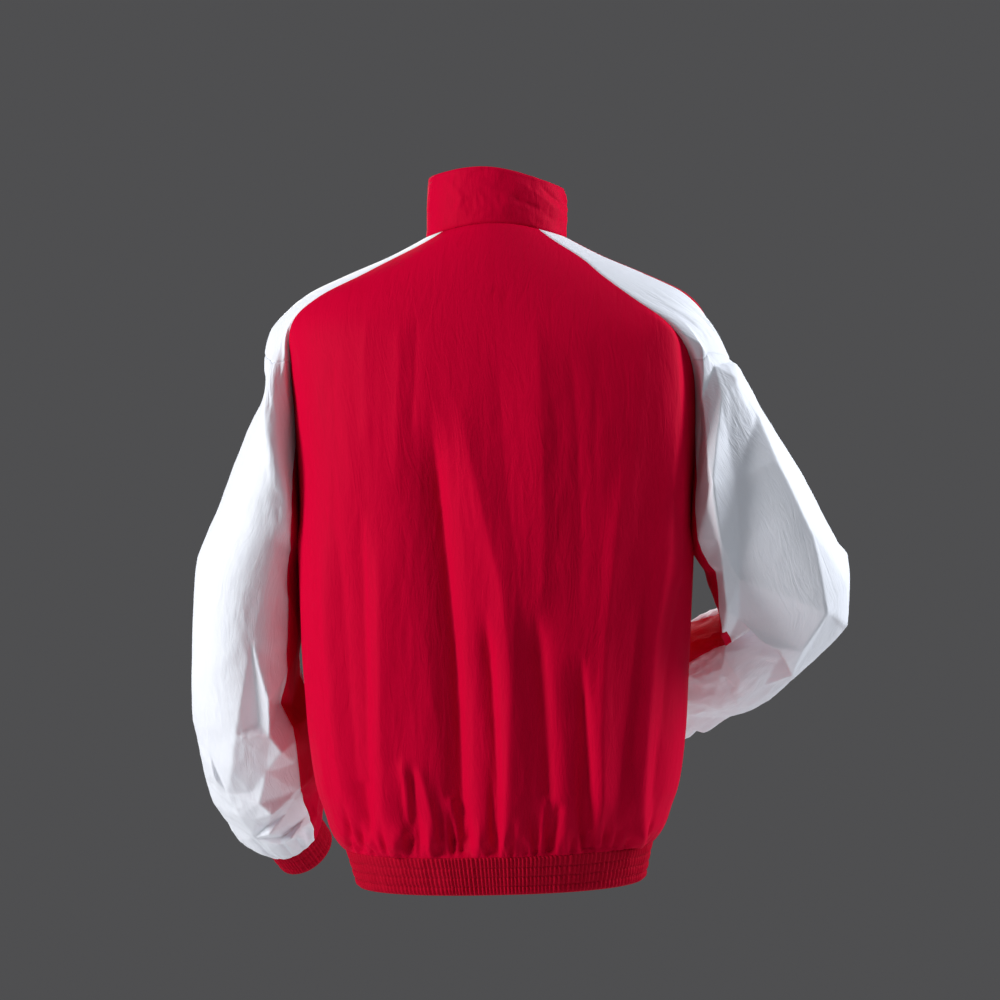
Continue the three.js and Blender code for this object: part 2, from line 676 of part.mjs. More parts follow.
// A strip along the zip between two distances sideways, set back from the face of the cloth.
function zipStrip(from, to, setBack, thickness, columns, rows = ZIP_ROWS) {
  const grid = rows.map(({ depth, point }, i) => {
    const [above, below] = [rows[Math.max(i - 1, 0)], rows[Math.min(i + 1, rows.length - 1)]];
    const slope = below.point(Math.PI).sub(above.point(Math.PI));
    const normal = new THREE.Vector3(0, slope.z, -slope.y).normalize();
    return steps(columns).map((share) => {
      const distance = from + (to - from) * share;
      return { point: point(Math.PI - distance / depth).addScaledVector(normal, -setBack), normal };
    });
  });
  return wall(grid, thickness);
}

const tapeFrom = CHAIN_WIDTH / 2 + SEAM;
const tapeBack = CLOTH + SEAM;
add(
  "zip_tape_left",
  zipStrip(tapeFrom, tapeFrom + TAPE_WIDTH, tapeBack, TAPE_THICKNESS, 2),
  TAPE_RED,
);
add(
  "zip_tape_right",
  zipStrip(-tapeFrom - TAPE_WIDTH, -tapeFrom, tapeBack, TAPE_THICKNESS, 2),
  TAPE_RED,
);
const topInset = COLLAR_ROWS[3].inset - ((1 - CHAIN_END) / 0.3) * (COLLAR_ROWS[3].inset - COLLAR_ROWS[2].inset);
const chainTop = {
  depth: ZIP_ROWS[0].depth,
  point: (angle) => collarPoint(angle, { up: CHAIN_END, inset: topInset }),
};
add(
  "zip_chain",
  zipStrip(-CHAIN_WIDTH / 2, CHAIN_WIDTH / 2, CHAIN_SET_BACK, CHAIN_THICKNESS, 1, [chainTop, ...ZIP_ROWS.slice(1)]),
  TAPE_RED,
  0.4,
);

const wasm = await Module();
wasm.setup();

function solidOf(geometry) {
  const bare = geometry.clone();
  bare.deleteAttribute("normal");
  bare.deleteAttribute("uv");
  const merged = mergeVertices(bare);
  const vertProperties = merged.getAttribute("position").array;
  const triVerts = new Uint32Array(merged.index.array);
  return new wasm.Manifold(new wasm.Mesh({ numProp: 3, vertProperties, triVerts }));
}

// One geometry of several that overlap.
function joined(...geometries) {
  const [first, ...others] = geometries.map(solidOf);
  const mesh = others.reduce((sum, next) => sum.add(next), first).getMesh();
  const geometry = new THREE.BufferGeometry();
  geometry.setAttribute("position", new THREE.Float32BufferAttribute(mesh.vertProperties, 3));
  geometry.setIndex(new THREE.Uint32BufferAttribute(mesh.triVerts, 1));
  geometry.computeVertexNormals();
  return geometry;
}

// A side profile drawn in [y, z] pairs, or a shape, made as wide as asked across X and centred there.
function acrossX(shape, width) {
  const geometry = new THREE.ExtrudeGeometry(shape, { depth: width, bevelEnabled: false, curveSegments: 8 });
  geometry.translate(0, 0, -width / 2);
  return geometry.applyMatrix4(new THREE.Matrix4().makeBasis(
    new THREE.Vector3(0, 1, 0),
    new THREE.Vector3(0, 0, 1),
    new THREE.Vector3(1, 0, 0),
  ));
}

// Slider, closed at the top of the collar: it straddles the chain, with two ears and a pin in front for the
// pull tab. Its own zero is the middle of the chain at the top of the collar.
const zipTop = collarPoint(Math.PI, COLLAR_ROWS[3]);
const zipBelow = collarPoint(Math.PI, COLLAR_ROWS[2]);
const zipMiddle = CHAIN_SET_BACK + CHAIN_THICKNESS / 2;
const slider = new THREE.Group();
slider.position.set(0, zipTop.y + zipMiddle, zipTop.z);
slider.rotation.x = Math.atan2(zipBelow.y - zipTop.y, zipTop.z - zipBelow.z);
jacket.add(slider);

const legFace = CHAIN_THICKNESS / 2 + SEAM; // inner face of both legs
const backFace = legFace + 1.3;
const frontFace = legFace + 1.6;
const postFoot = -2.5;
const straddle = new THREE.Shape(
  [
    [-frontFace, 0],
    [-frontFace, -SLIDER_LENGTH],
    [-legFace, -SLIDER_LENGTH],
    [-legFace, postFoot],
    [legFace, postFoot],
    [legFace, -SLIDER_LENGTH],
    [backFace, -SLIDER_LENGTH],
    [backFace, 0],
  ].map(([y, z]) => new THREE.Vector2(y, z)),
);
const frontPlate = new THREE.BoxGeometry(SLIDER_WIDTH, frontFace - legFace, SLIDER_LENGTH);
frontPlate.translate(0, -(frontFace + legFace) / 2, -SLIDER_LENGTH / 2);
const pin = { y: -frontFace - 2, z: -5 };
const ears = [-1, 1].map((side) => {
  const ear = new THREE.BoxGeometry(1, 3.6, 2.6);
  return ear.translate(side * (PULL_WIDTH / 2 + 0.4 + 0.5), -frontFace - 1.4, pin.z);
});
const rod = new THREE.CylinderGeometry(PIN_RADIUS, PIN_RADIUS, PULL_WIDTH + 1.8, 12);
rod.rotateZ(Math.PI / 2).translate(0, pin.y, pin.z);
const sliderShape = joined(acrossX(straddle, CHAIN_WIDTH - 0.4), frontPlate, ...ears, rod);
add("zip_slider", sliderShape, METAL, 0.35, 0.9, slider);

// Pull tab: an eye round the pin and a flat tab that hangs from it.
const pull = new THREE.Group();
pull.position.set(0, pin.y, pin.z);
pull.rotation.x = -slider.rotation.x; // it hangs plumb
slider.add(pull);
const eyeRadius = 1.6;
const half = PULL_THICKNESS / 2;
const meets = Math.acos(half / eyeRadius);
const tab = new THREE.Shape();
tab.absarc(0, 0, eyeRadius, -meets, Math.PI + meets, false);
tab.lineTo(-half, -PULL_LENGTH);
tab.lineTo(half, -PULL_LENGTH);
tab.closePath();
const eye = new THREE.Path();
eye.absarc(0, 0, PIN_RADIUS + 0.3, 0, 2 * Math.PI, true);
tab.holes.push(eye);
add("zip_pull_tab", acrossX(tab, PULL_WIDTH), METAL, 0.35, 0.9, pull);

export default jacket;
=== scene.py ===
import bpy
import numpy as np
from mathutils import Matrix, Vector
from mathutils.geometry import delaunay_2d_cdt


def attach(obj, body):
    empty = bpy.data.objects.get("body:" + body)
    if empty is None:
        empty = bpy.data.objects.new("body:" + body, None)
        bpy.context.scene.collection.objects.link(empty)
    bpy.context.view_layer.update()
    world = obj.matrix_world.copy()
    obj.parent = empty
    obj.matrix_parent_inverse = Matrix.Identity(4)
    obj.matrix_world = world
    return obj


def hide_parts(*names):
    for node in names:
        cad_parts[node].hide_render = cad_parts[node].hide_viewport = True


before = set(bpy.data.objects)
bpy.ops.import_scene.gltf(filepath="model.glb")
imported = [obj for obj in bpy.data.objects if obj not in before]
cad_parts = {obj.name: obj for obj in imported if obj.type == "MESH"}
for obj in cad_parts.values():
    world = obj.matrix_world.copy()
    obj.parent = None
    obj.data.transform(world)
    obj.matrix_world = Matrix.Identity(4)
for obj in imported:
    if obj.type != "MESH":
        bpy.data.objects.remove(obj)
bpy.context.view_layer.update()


# Camera: level with the middle of the back and four degrees round to one side, as the photograph was taken.
camera = bpy.data.objects.new("camera", bpy.data.cameras.new("camera"))
camera.data.lens = 93.6
camera.data.sensor_width = 36
camera.location = (-0.1944, 2.7231, -0.276)
camera.rotation_euler = (np.pi / 2, 0, np.radians(184))
bpy.context.collection.objects.link(camera)
bpy.context.scene.camera = camera
bpy.context.scene.view_settings.view_transform = "Standard"


# Studio: a pale painted floor well below the hem, dim grey surroundings, one large soft lamp from the
# wearer's left, a narrow one that edges the bent arm, and weak ones that open the shadows.
floor_edge = np.linspace(0, 2 * np.pi, 97)[:-1]
floor_mesh = bpy.data.meshes.new("floor")
floor_mesh.from_pydata(
    np.stack([2.6 * np.cos(floor_edge), 2.6 * np.sin(floor_edge), np.full(96, -1.45)], axis=-1).tolist(),
    [], [list(range(96))],
)
floor = bpy.data.objects.new("floor", floor_mesh)
bpy.context.collection.objects.link(floor)

floor_paint = bpy.data.materials.new("floor paint")
floor_paint.use_nodes = True
nodes, links = floor_paint.node_tree.nodes, floor_paint.node_tree.links
place = nodes.new("ShaderNodeTexCoord")
mottle = nodes.new("ShaderNodeTexNoise")
mottle.inputs["Scale"].default_value = 3
tint = nodes.new("ShaderNodeMix")
tint.data_type = "RGBA"
tint.inputs[6].default_value = (0.62, 0.62, 0.63, 1)
tint.inputs[7].default_value = (0.7, 0.7, 0.7, 1)
links.new(place.outputs["Object"], mottle.inputs["Vector"])
links.new(mottle.outputs["Fac"], tint.inputs[0])
links.new(tint.outputs[2], nodes["Principled BSDF"].inputs["Base Color"])
nodes["Principled BSDF"].inputs["Roughness"].default_value = 0.8
floor_mesh.materials.append(floor_paint)

surroundings = bpy.data.worlds.new("surroundings")
surroundings.use_nodes = True
surroundings.node_tree.nodes["Background"].inputs["Color"].default_value = (0.078, 0.078, 0.081, 1)
bpy.context.scene.world = surroundings


def soft_lamp(name, place, aim, width, height, power, colour=(1, 1, 1)):
    """A flat rectangular lamp of the given size in metres, turned so that it faces the aim."""
    lamp = bpy.data.objects.new(name, bpy.data.lights.new(name, "AREA"))
    lamp.data.shape = "RECTANGLE"
    lamp.data.size, lamp.data.size_y = width, height
    lamp.data.energy = power
    lamp.data.color = colour
    lamp.location = place
    away = np.array(aim, float) - place
    flat = np.hypot(away[0], away[1])
    lamp.rotation_euler = (np.pi / 2 + np.arctan2(away[2], flat), 0, np.arctan2(-away[0], away[1]))
    bpy.context.collection.objects.link(lamp)


soft_lamp("key_lamp", (2.5, 1.25, 0.4), (0, 0.1, -0.4), 0.7, 1.7, 81)
soft_lamp("fill_lamp", (-1.2, 2.7, 0.5), (0, 0, -0.35), 1.6, 1.4, 5, (0.85, 0.92, 1))
soft_lamp("rim_lamp", (-2.2, -0.5, 0.5), (-0.25, 0, -0.3), 0.5, 1.6, 60, (0.93, 0.96, 1))
soft_lamp("top_lamp", (-1.0, 0.45, 1.9), (-0.15, 0, -0.1), 1.0, 1.0, 13, (0.93, 0.96, 1))
soft_lamp("front_lamp", (0.6, -2.5, 0.9), (0, 0, -0.3), 1.4, 1.4, 30)


# Body of the jacket: thin nylon cut as one back and two fronts and blown out over a broad back. First the
# form that the cloth hangs in, as sections that run round it from the collar seam to the waistband.
def columns(names, rows):
    """Names the columns of a short table of numbers."""
    return dict(zip(names.split(), np.array(rows, float).T))


def curve(rows, key, name, at):
    """One column of a table read at any key: a smooth Catmull-Rom line through its unevenly spaced rows."""
    x, y = rows[key], rows[name]
    at = np.clip(at, x[0], x[-1])
    i = np.clip(np.searchsorted(x, at, side="left") - 1, 0, len(x) - 2)
    before, after = np.maximum(np.arange(len(x)) - 1, 0), np.minimum(np.arange(len(x)) + 1, len(x) - 1)
    slope = (y[after] - y[before]) / (x[after] - x[before])
    span = x[i + 1] - x[i]
    t = (at - x[i]) / span
    fall = (1 - t) ** 2
    return (
        y[i] * (1 + 2 * t) * fall + slope[i] * span * t * fall
        + y[i + 1] * t * t * (3 - 2 * t) - slope[i + 1] * span * t * t * (1 - t)
    )


def smooth(low, high, x):
    """0 up to low, 1 from high on, and a soft step between."""
    t = np.clip((x - low) / (high - low), 0, 1)
    return t * t * (3 - 2 * t)


BODY = columns("drop back front half_width back_depth front_depth square shift tilt", [
    [2, 9, -68, 73, 60, 76, 2, 0, 0],
    [22, -25, -88, 112, 84, 90, 2, 0, 0],
    [41, -58, -106, 157, 100, 101, 2, 0, 0],
    [62, -90, -124, 200, 112, 110, 2, 0, 0],
    [90, -122, -146, 220, 120, 117, 2.2, 0, 0],
    [130, -160, -172, 220, 125, 124, 2.35, 0, 0],
    [185, -205, -208, 215, 128, 131, 2.45, 0, 0],
    [245, -255, -255, 210, 128, 136, 2.5, 0, 0],
    [330, -330, -330, 206, 127, 139, 2.5, 0, 0],
    [400, -400, -400, 203, 125, 140, 2.5, 0, 0],
    [460, -460, -460, 200, 124, 140, 2.5, 0, 0],
    [520, -520, -520, 196, 126, 141, 2.5, -1, 1],
    [575, -575, -575, 188, 128, 141, 2.4, -2, 3],
    [606, -606, -606, 177, 125, 136, 2.3, -2.5, 4],
    [625, -625, -625, 168, 120, 129, 2.3, -3, 5],
    [637, -637, -637, 159, 115, 124, 2.3, -3.5, 5],
])
NECK, DROP_SEAM, ARMPIT, HEM = 2.0, 130.0, 330.0, 637.0


def body_form(angle, drop, lift=0.0):
    """A point of the body's form in millimetres. Each section is a polar superellipse,
    radius = (|sin / half width|^n + |cos / depth|^n)^(-1/n), with the angle 0 at the middle back and
    positive to the wearer's left. Its height falls from the middle back to the middle front with cos^2."""
    s, c = np.sin(angle), np.cos(angle)
    half = curve(BODY, "drop", "half_width", drop)
    back_depth, front_depth = (curve(BODY, "drop", name, drop) for name in ("back_depth", "front_depth"))
    depth = np.where(c > 0, back_depth, front_depth)
    power = curve(BODY, "drop", "square", drop)
    radius = (np.abs(s / half) ** power + np.abs(c / depth) ** power) ** (-1 / power) + lift
    x = curve(BODY, "drop", "shift", drop) + radius * s
    side = -drop - curve(BODY, "drop", "tilt", drop) * x / half
    middle = np.where(c > 0, curve(BODY, "drop", "back", drop), curve(BODY, "drop", "front", drop))
    return np.stack([x, radius * c, side + (middle + drop) * c * c], axis=-1)


def face_of(form, a, b, step_a, step_b):
    """Unit normals of a form: the cross product of its small steps along both parameters."""
    along = form(a + step_a, b) - form(a - step_a, b)
    down = form(a, b + step_b) - form(a, b - step_b)
    normal = np.cross(along, down)
    return normal / np.maximum(np.linalg.norm(normal, axis=-1, keepdims=True), 1e-9)


# The seams between the panels, in degrees round from the middle back: the raglan seam down to the
# shoulder, then the armhole down to the armpit.
LEFT_EDGES = columns("drop back front", [
    [2, 51, 104], [22, 66, 110], [41, 69.5, 112], [62, 74, 112], [90, 78.5, 110], [130, 79, 106],
    [185, 79, 104], [245, 80, 103], [275, 80.5, 102], [308, 82, 100], [330, 90, 90],
])
RIGHT_EDGES = columns("drop back front", [
    [2, 46, 79], [22, 57, 82], [41, 58, 83], [62, 61, 84], [90, 67, 86], [130, 74, 94],
    [185, 78, 103], [245, 80, 103], [275, 80.5, 102], [308, 82, 100], [330, 90, 90],
])


def smooth_line(points, steps=8):
    """Points of one smooth line through the given ones."""
    points = np.array(points, float)
    rows = {"place": np.arange(len(points), dtype=float), "a": points[:, 0], "b": points[:, 1]}
    at = np.linspace(0, len(points) - 1, (len(points) - 1) * steps + 1)
    return np.stack([curve(rows, "place", "a", at), curve(rows, "place", "b", at)], axis=-1)


def laid_folds(a, b, rows):
    """Heights of folds laid at the places (a, b) of the cloth. A fold follows a smooth line, and its
    height is depth * exp(-(distance / width)^crisp), with a width of its own on either side of the line, so
    that one flank can be steep and the other slow. It dies away over the first and last fifth of the line."""
    total = np.zeros(a.shape)
    for depth, width_one, width_other, crisp, points in rows:
        line = smooth_line(points)
        nearest = np.full(a.shape, np.inf)
        side, share = np.zeros(a.shape), np.zeros(a.shape)
        for k in range(len(line) - 1):
            (pa, pb), (da, db) = line[k], line[k + 1] - line[k]
            t = np.clip(((a - pa) * da + (b - pb) * db) / (da * da + db * db), 0, 1)
            x, y = a - pa - t * da, b - pb - t * db
            away = np.hypot(x, y)
            closer = away < nearest
            nearest = np.where(closer, away, nearest)
            side = np.where(closer, da * y - db * x, side)
            share = np.where(closer, (k + t) / (len(line) - 1), share)
        width = np.where(side > 0, width_one, width_other)
        fade = smooth(0, 0.2, share) * smooth(1, 0.8, share)
        total += depth * fade * np.exp(-(nearest / width) ** crisp)
    return total


def ripple(across, along, width, length, seed):
    """Soft random hills between -1 and 1: random heights on a lattice of width by length cells,
    joined by smooth steps, with the lattice itself bent by a second, slower one."""
    heights = np.random.default_rng(seed).uniform(-1, 1, (2, 97, 89))

    def hills(layer, a, b):
        i, j = np.floor(a).astype(int), np.floor(b).astype(int)
        s, t = smooth(0, 1, a - i), smooth(0, 1, b - j)
        corner = [[heights[layer, (i + di) % 97, (j + dj) % 89] for dj in (0, 1)] for di in (0, 1)]
        return ((corner[0][0] * (1 - s) + corner[1][0] * s) * (1 - t)
                + (corner[0][1] * (1 - s) + corner[1][1] * s) * t)

    a, b = across / width, along / length
    bent = hills(1, a * 0.37 + 11, b * 0.37 + 5)
    return hills(0, a + 0.7 * bent + 40, b + 0.4 * bent + 40)


def crumple(across, along, width, length, seed):
    """Creased rather than wavy cloth: one minus twice the size of soft hills has sharp crests
    where the hills cross zero and round hollows between."""
    return 1 - 2 * np.abs(ripple(across, along, width, length, seed))


# Folds of the back by sideways place and height in millimetres: depth, a width on either side, crispness
# and the line. The deep valley left of the middle and the pleats that rise from the waistband come first.
BACK_FOLDS = [
    (-17, 27, 13, 1.15, [(58, -176), (52, -246), (45, -316), (37, -396), (31, -477), (28, -547),
     (26, -627), (26, -738)]),
    (6, 13, 20, 1.4, [(30, -156), (18, -226), (2, -296), (-12, -356), (-20, -417), (-23, -477),
     (-21, -537), (-17, -607), (-16, -718)]),
    (-9, 12, 5, 1.2, [(4, -376), (-3, -437), (-7, -497), (-10, -557), (-11, -627), (-11, -718)]),
    (-10, 22, 8, 1.2, [(-47, -376), (-53, -437), (-59, -507), (-62, -567), (-62, -627), (-62, -718)]),
    (2.5, 16, 9, 1.3, [(-47, -75), (-53, -156), (-56, -246), (-56, -336), (-51, -417)]),
    (-9, 16, 4, 1.2, [(-93, -417), (-99, -497), (-103, -567), (-105, -627), (-105, -708)]),
    (-5, 18, 5, 1.2, [(131, -256), (128, -356), (125, -457), (123, -537), (120, -617), (118, -738)]),
    (4, 8, 16, 1.4, [(111, -296), (110, -396), (109, -497), (107, -567), (104, -617), (102, -708)]),
    (1.4, 7, 8, 1.3, [(90, -85), (90, -146), (91, -206), (93, -276)]),
    (-1.2, 5, 4, 1.2, [(72, -85), (73, -146), (77, -216)]),
    (1.2, 5, 10, 1.3, [(125, -85), (126, -156), (125, -226)]),
    (5, 12, 7, 1.5, [(-183, -156), (-178, -246), (-172, -336), (-162, -457), (-155, -557), (-150, -637),
     (-147, -708)]),
    (-4, 6, 9, 1.2, [(-195, -336), (-185, -417), (-175, -497), (-168, -557), (-163, -617)]),
    (-4, 9, 9, 1.4, [(-159, -336), (-147, -457), (-137, -547), (-129, -627), (-125, -708)]),
    (3.5, 9, 10, 1.4, [(-137, -216), (-125, -336), (-116, -447), (-113, -537), (-115, -617)]),
    (-3, 10, 8, 1.3, [(161, -256), (151, -366), (144, -467), (137, -547), (130, -627)]),
    (3, 9, 9, 1.5, [(173, -296), (167, -406), (159, -507), (149, -577), (137, -637)]),
    (-1.6, 10, 7, 1.3, [(-82, -115), (-90, -206), (-94, -306), (-91, -417)]),
    (-1.2, 9, 8, 1.3, [(-10, -115), (-15, -196), (-21, -276), (-33, -356)]),
    (1.6, 11, 9, 1.4, [(-155, -95), (-149, -186), (-141, -276), (-131, -366)]),
    (-1.0, 7, 6, 1.3, [(-111, -95), (-109, -176), (-105, -256)]),
    (8, 34, 9, 1.6, [(-165, -65), (-181, -110), (-186, -176), (-187, -246), (-186, -336), (-181, -427)]),
    (5, 4, 8, 1.3, [(87, -529), (83, -567), (84, -599), (88, -627)]),
    (-6, 4, 7, 1.2, [(78, -537), (76, -577), (78, -607), (80, -637)]),
    (4, 6, 5, 1.3, [(72, -537), (62, -572), (54, -607), (50, -637)]),
    (4, 5, 4, 1.3, [(39, -572), (36, -597), (33, -627)]),
    (4, 4, 5, 1.3, [(-62, -567), (-56, -602), (-52, -635)]),
    (-5, 4, 4, 1.2, [(-73, -577), (-69, -607), (-66, -637)]),
    (-5, 7, 4, 1.2, [(130, -557), (127, -592), (122, -627)]),
]
# Pleats of the gathered foot of the back: sideways place, height of the top, lean and depth.
BACK_PLEATS = columns("x top lean depth", [
    [146, -560, 6, -3], [133, -590, 3, -3], [122, -600, -2, 2], [105, -585, 3, -2.5], [93, -598, 0, 2],
    [81, -545, 8, -4], [70, -570, 4, -3], [58, -590, 2, 2], [48, -560, 3, -3.5], [36, -580, 0, -3],
    [23, -596, -3, -2.5], [10, -590, -2, 2], [-5, -520, 0, -3], [-14, -600, -3, 2], [-23, -585, -4, -3],
    [-37, -596, 3, -2], [-48, -570, 5, -4], [-61, -590, -6, -3], [-70, -600, 2, 2], [-84, -590, 0, -2],
    [-97, -500, 3, -4], [-110, -592, -4, -2.5], [-119, -580, -2, -3], [-138, -586, -6, -3],
    [-148, -600, -4, 2], [-156, -590, -8, -3],
])
# The hidden front has the same kind of folds, spaced unevenly and clear of the zip.
FRONT_FOLDS = [
    (-5, 12, 9, 1.5, [(70, -240), (66, -360), (72, -500), (68, -680)]),
    (4, 10, 9, 1.5, [(104, -220), (100, -380), (98, -520), (92, -680)]),
    (-4, 8, 7, 1.4, [(38, -330), (34, -450), (36, -560), (33, -680)]),
    (-5, 9, 8, 1.5, [(140, -180), (138, -330), (130, -480), (124, -680)]),
    (-5, 10, 12, 1.5, [(-62, -210), (-70, -350), (-66, -500), (-70, -680)]),
    (4, 9, 9, 1.5, [(-96, -260), (-92, -400), (-97, -540), (-94, -680)]),
    (-4, 6, 8, 1.4, [(-36, -380), (-33, -480), (-38, -580), (-36, -680)]),
    (-5, 8, 9, 1.5, [(-132, -200), (-140, -340), (-130, -490), (-121, -680)]),
    (-3, 20, 16, 1.6, [(60, -110), (110, -140), (160, -150)]),
    (-3, 16, 20, 1.6, [(-58, -110), (-105, -135), (-150, -150)]),
    (-1.5, 4, 4, 1.2, [(24, -150), (28, -220), (26, -300)]),
    (-1.5, 4, 4, 1.2, [(-24, -140), (-30, -230), (-28, -320)]),
    (1.5, 5, 4, 1.2, [(84, -150), (88, -220), (86, -290)]),
    (1.5, 4, 5, 1.2, [(-112, -160), (-116, -230), (-110, -300)]),
]
FRONT_PLEATS = columns("x top lean depth", [
    [140, -570, 5, -3], [126, -596, 2, 2], [112, -560, 4, -4], [98, -590, 2, -3], [84, -600, 0, 2],
    [70, -555, 3, -4], [57, -588, 0, -3], [45, -600, -2, 2], [33, -560, 2, -4], [20, -590, 0, -2.5],
    [-21, -588, 0, -3], [-32, -565, -2, -3.5], [-46, -598, 2, 2], [-58, -580, -3, -3], [-71, -550, -2, -4],
    [-85, -600, 0, 2], [-97, -585, -3, -3], [-111, -566, -4, -3.5], [-124, -594, -2, 2],
    [-139, -575, -6, -3],
])


def pleats(x, z, rows):
    """Gathers above an elastic band: narrow grooves that open and fade upwards from the seam.
    Each is 1.9 * depth * exp(-(sideways distance / width)^1.3), its width growing from 3 to 7 mm."""
    total = np.zeros(x.shape)
    for place, top, lean, depth in zip(rows["x"], rows["top"], rows["lean"], rows["depth"]):
        rise = np.clip((z + HEM) / (top + HEM), 0, 1.2)
        width = 3 + 4 * rise
        across = np.abs(x - place - lean * rise) / width
        total += 1.9 * depth * (1 - smooth(0.25, 1, rise)) * np.exp(-across ** 1.3)
    return total


def gathers(girth, above):
    """The fine gathers that the elastic draws up: a slot about every 11 mm of the girth, each with
    a depth and a height of its own. A slot is -depth * exp(-(distance from its middle / width)^1.4), and
    it fades upwards."""
    rng = np.random.default_rng(64)
    deep, tall = rng.uniform(1.5, 7, 160), 14 + 70 * rng.uniform(0, 1, 160) ** 2
    place = girth / 11.3 + 0.35 * np.sin(girth / 31) + 0.2 * np.sin(girth / 13 + 2) + 80
    slot = np.clip(np.floor(place).astype(int), 0, 159)
    rise = np.clip(above / tall[slot], 0, 1.2)
    across = np.abs(place - slot - 0.5) / (0.22 + 0.14 * rise)
    return -deep[slot] * (1 - smooth(0.2, 1, rise)) * smooth(-6, 3, above) * np.exp(-(across ** 1.4))


def body_cloth(angle, drop, to_edge):
    """The body's cloth: its form, with the laid folds, gathers and small crumples added straight outwards.
    They calm down over the last few millimetres to a seam, where to_edge, the distance to it, is 0."""
    flat = body_form(angle, drop)
    x, z = flat[..., 0], flat[..., 2]
    girth = np.degrees(angle) * 2.6
    on_back = np.cos(angle) > 0
    height = np.where(on_back, laid_folds(x, z, BACK_FOLDS), laid_folds(x, z, FRONT_FOLDS))
    low = np.where(on_back, pleats(x, z, BACK_PLEATS), pleats(x, z, FRONT_PLEATS))
    pinned = (1 - 0.45 * smooth(618, HEM, drop)) * smooth(HEM + 0.5, HEM - 5, drop)
    height += low * np.where(np.abs(x) > 150, 0.7, 1)
    uneven = 0.6 + 0.4 * ripple(girth, drop, 30, 400, 15)
    height += gathers(girth, HEM - drop) * uneven + 2.5 * smooth(590, 622, drop)
    loose = smooth(60, 200, drop)
    height += 1.1 * loose * ripple(girth, drop, 30, 170, 3) + 0.45 * loose * ripple(girth, drop, 12, 70, 8)
    height += 0.22 * (0.3 + loose) * crumple(girth, drop, 9, 42, 12)
    calm = smooth(-2, 14, to_edge) * smooth(0, 30, 171 - np.abs(np.degrees(angle)))
    return flat + (height * pinned * calm + 0.9)[..., None] * face_of(body_form, angle, drop, 0.01, 1.0)


def shares(count, edge=0.004):
    """Even steps from 0 to 1 with three close ones at either end, for the roll of a seam."""
    inner = np.linspace(0, 1, count - 6)
    ends = np.array([0.22, 0.5, 0.8]) * edge * 2
    return np.sort(np.concatenate([inner, ends, 1 - ends]))


def seam_roll(points, normals, ring=False, rows=True):
    """Draws the cloth in along its cut edges by 0.9 mm * exp(-(distance / 1.5 mm)^2), so that two
    pieces meet in the fine groove of a plain seam."""
    across = np.cumsum(np.linalg.norm(np.diff(points, axis=1, prepend=points[:, :1]), axis=-1), axis=1)
    down = np.cumsum(np.linalg.norm(np.diff(points, axis=0, prepend=points[:1]), axis=-1), axis=0)
    nearest = np.full(points.shape[:2], np.inf)
    if not ring:
        nearest = np.minimum(across, across[:, -1:] - across)
    if rows:
        nearest = np.minimum(nearest, np.minimum(down, down[-1:] - down))
    return points - (0.9 * np.exp(-((nearest / 1.5) ** 2)))[..., None] * normals


def cloth_piece(name, points, outwards, wall=0.8, ring=False):
    """One piece of cloth through a grid of points in millimetres, rows down and columns across: quads between
    neighbours that face outwards, a UV map of the distances along the cloth in metres from its middle
    column and first row, and a wall that grows inwards."""
    rows, count = points.shape[:2]
    closed = np.concatenate([points, points[:, :1]], axis=1) if ring else points
    step = np.linalg.norm(np.diff(closed, axis=1, prepend=closed[:, :1]), axis=-1)
    u = np.cumsum(step, axis=1)
    u = (u - u[:, u.shape[1] // 2, None]) / 1000
    v = -np.cumsum(np.linalg.norm(np.diff(closed, axis=0, prepend=closed[:1]), axis=-1), axis=0) / 1000
    i, j = np.meshgrid(np.arange(rows - 1), np.arange(closed.shape[1] - 1), indexing="ij")
    corners = [(i, j), (i + 1, j), (i + 1, j + 1), (i, j + 1)]
    facing = np.cross(np.diff(points, axis=0)[:, :-1], np.diff(points, axis=1)[:-1])
    if np.sum(facing * outwards[:-1, :-1]) < 0:
        corners.reverse()
    quads = np.stack([(a * count + b % count).ravel() for a, b in corners], axis=-1)
    uv = np.stack([np.stack([u[a, b].ravel(), v[a, b].ravel()], axis=-1) for a, b in corners], axis=1)
    mesh = bpy.data.meshes.new(name)
    mesh.from_pydata((points.reshape(-1, 3) / 1000).tolist(), [], quads.tolist())
    mesh.uv_layers.new(name="cloth").data.foreach_set("uv", uv.ravel())
    mesh.polygons.foreach_set("use_smooth", np.ones(len(quads), bool))
    piece = bpy.data.objects.new(name, mesh)
    bpy.context.collection.objects.link(piece)
    thicken = piece.modifiers.new("wall", "SOLIDIFY")
    thicken.thickness = wall / 1000
    thicken.offset = -1
    return piece


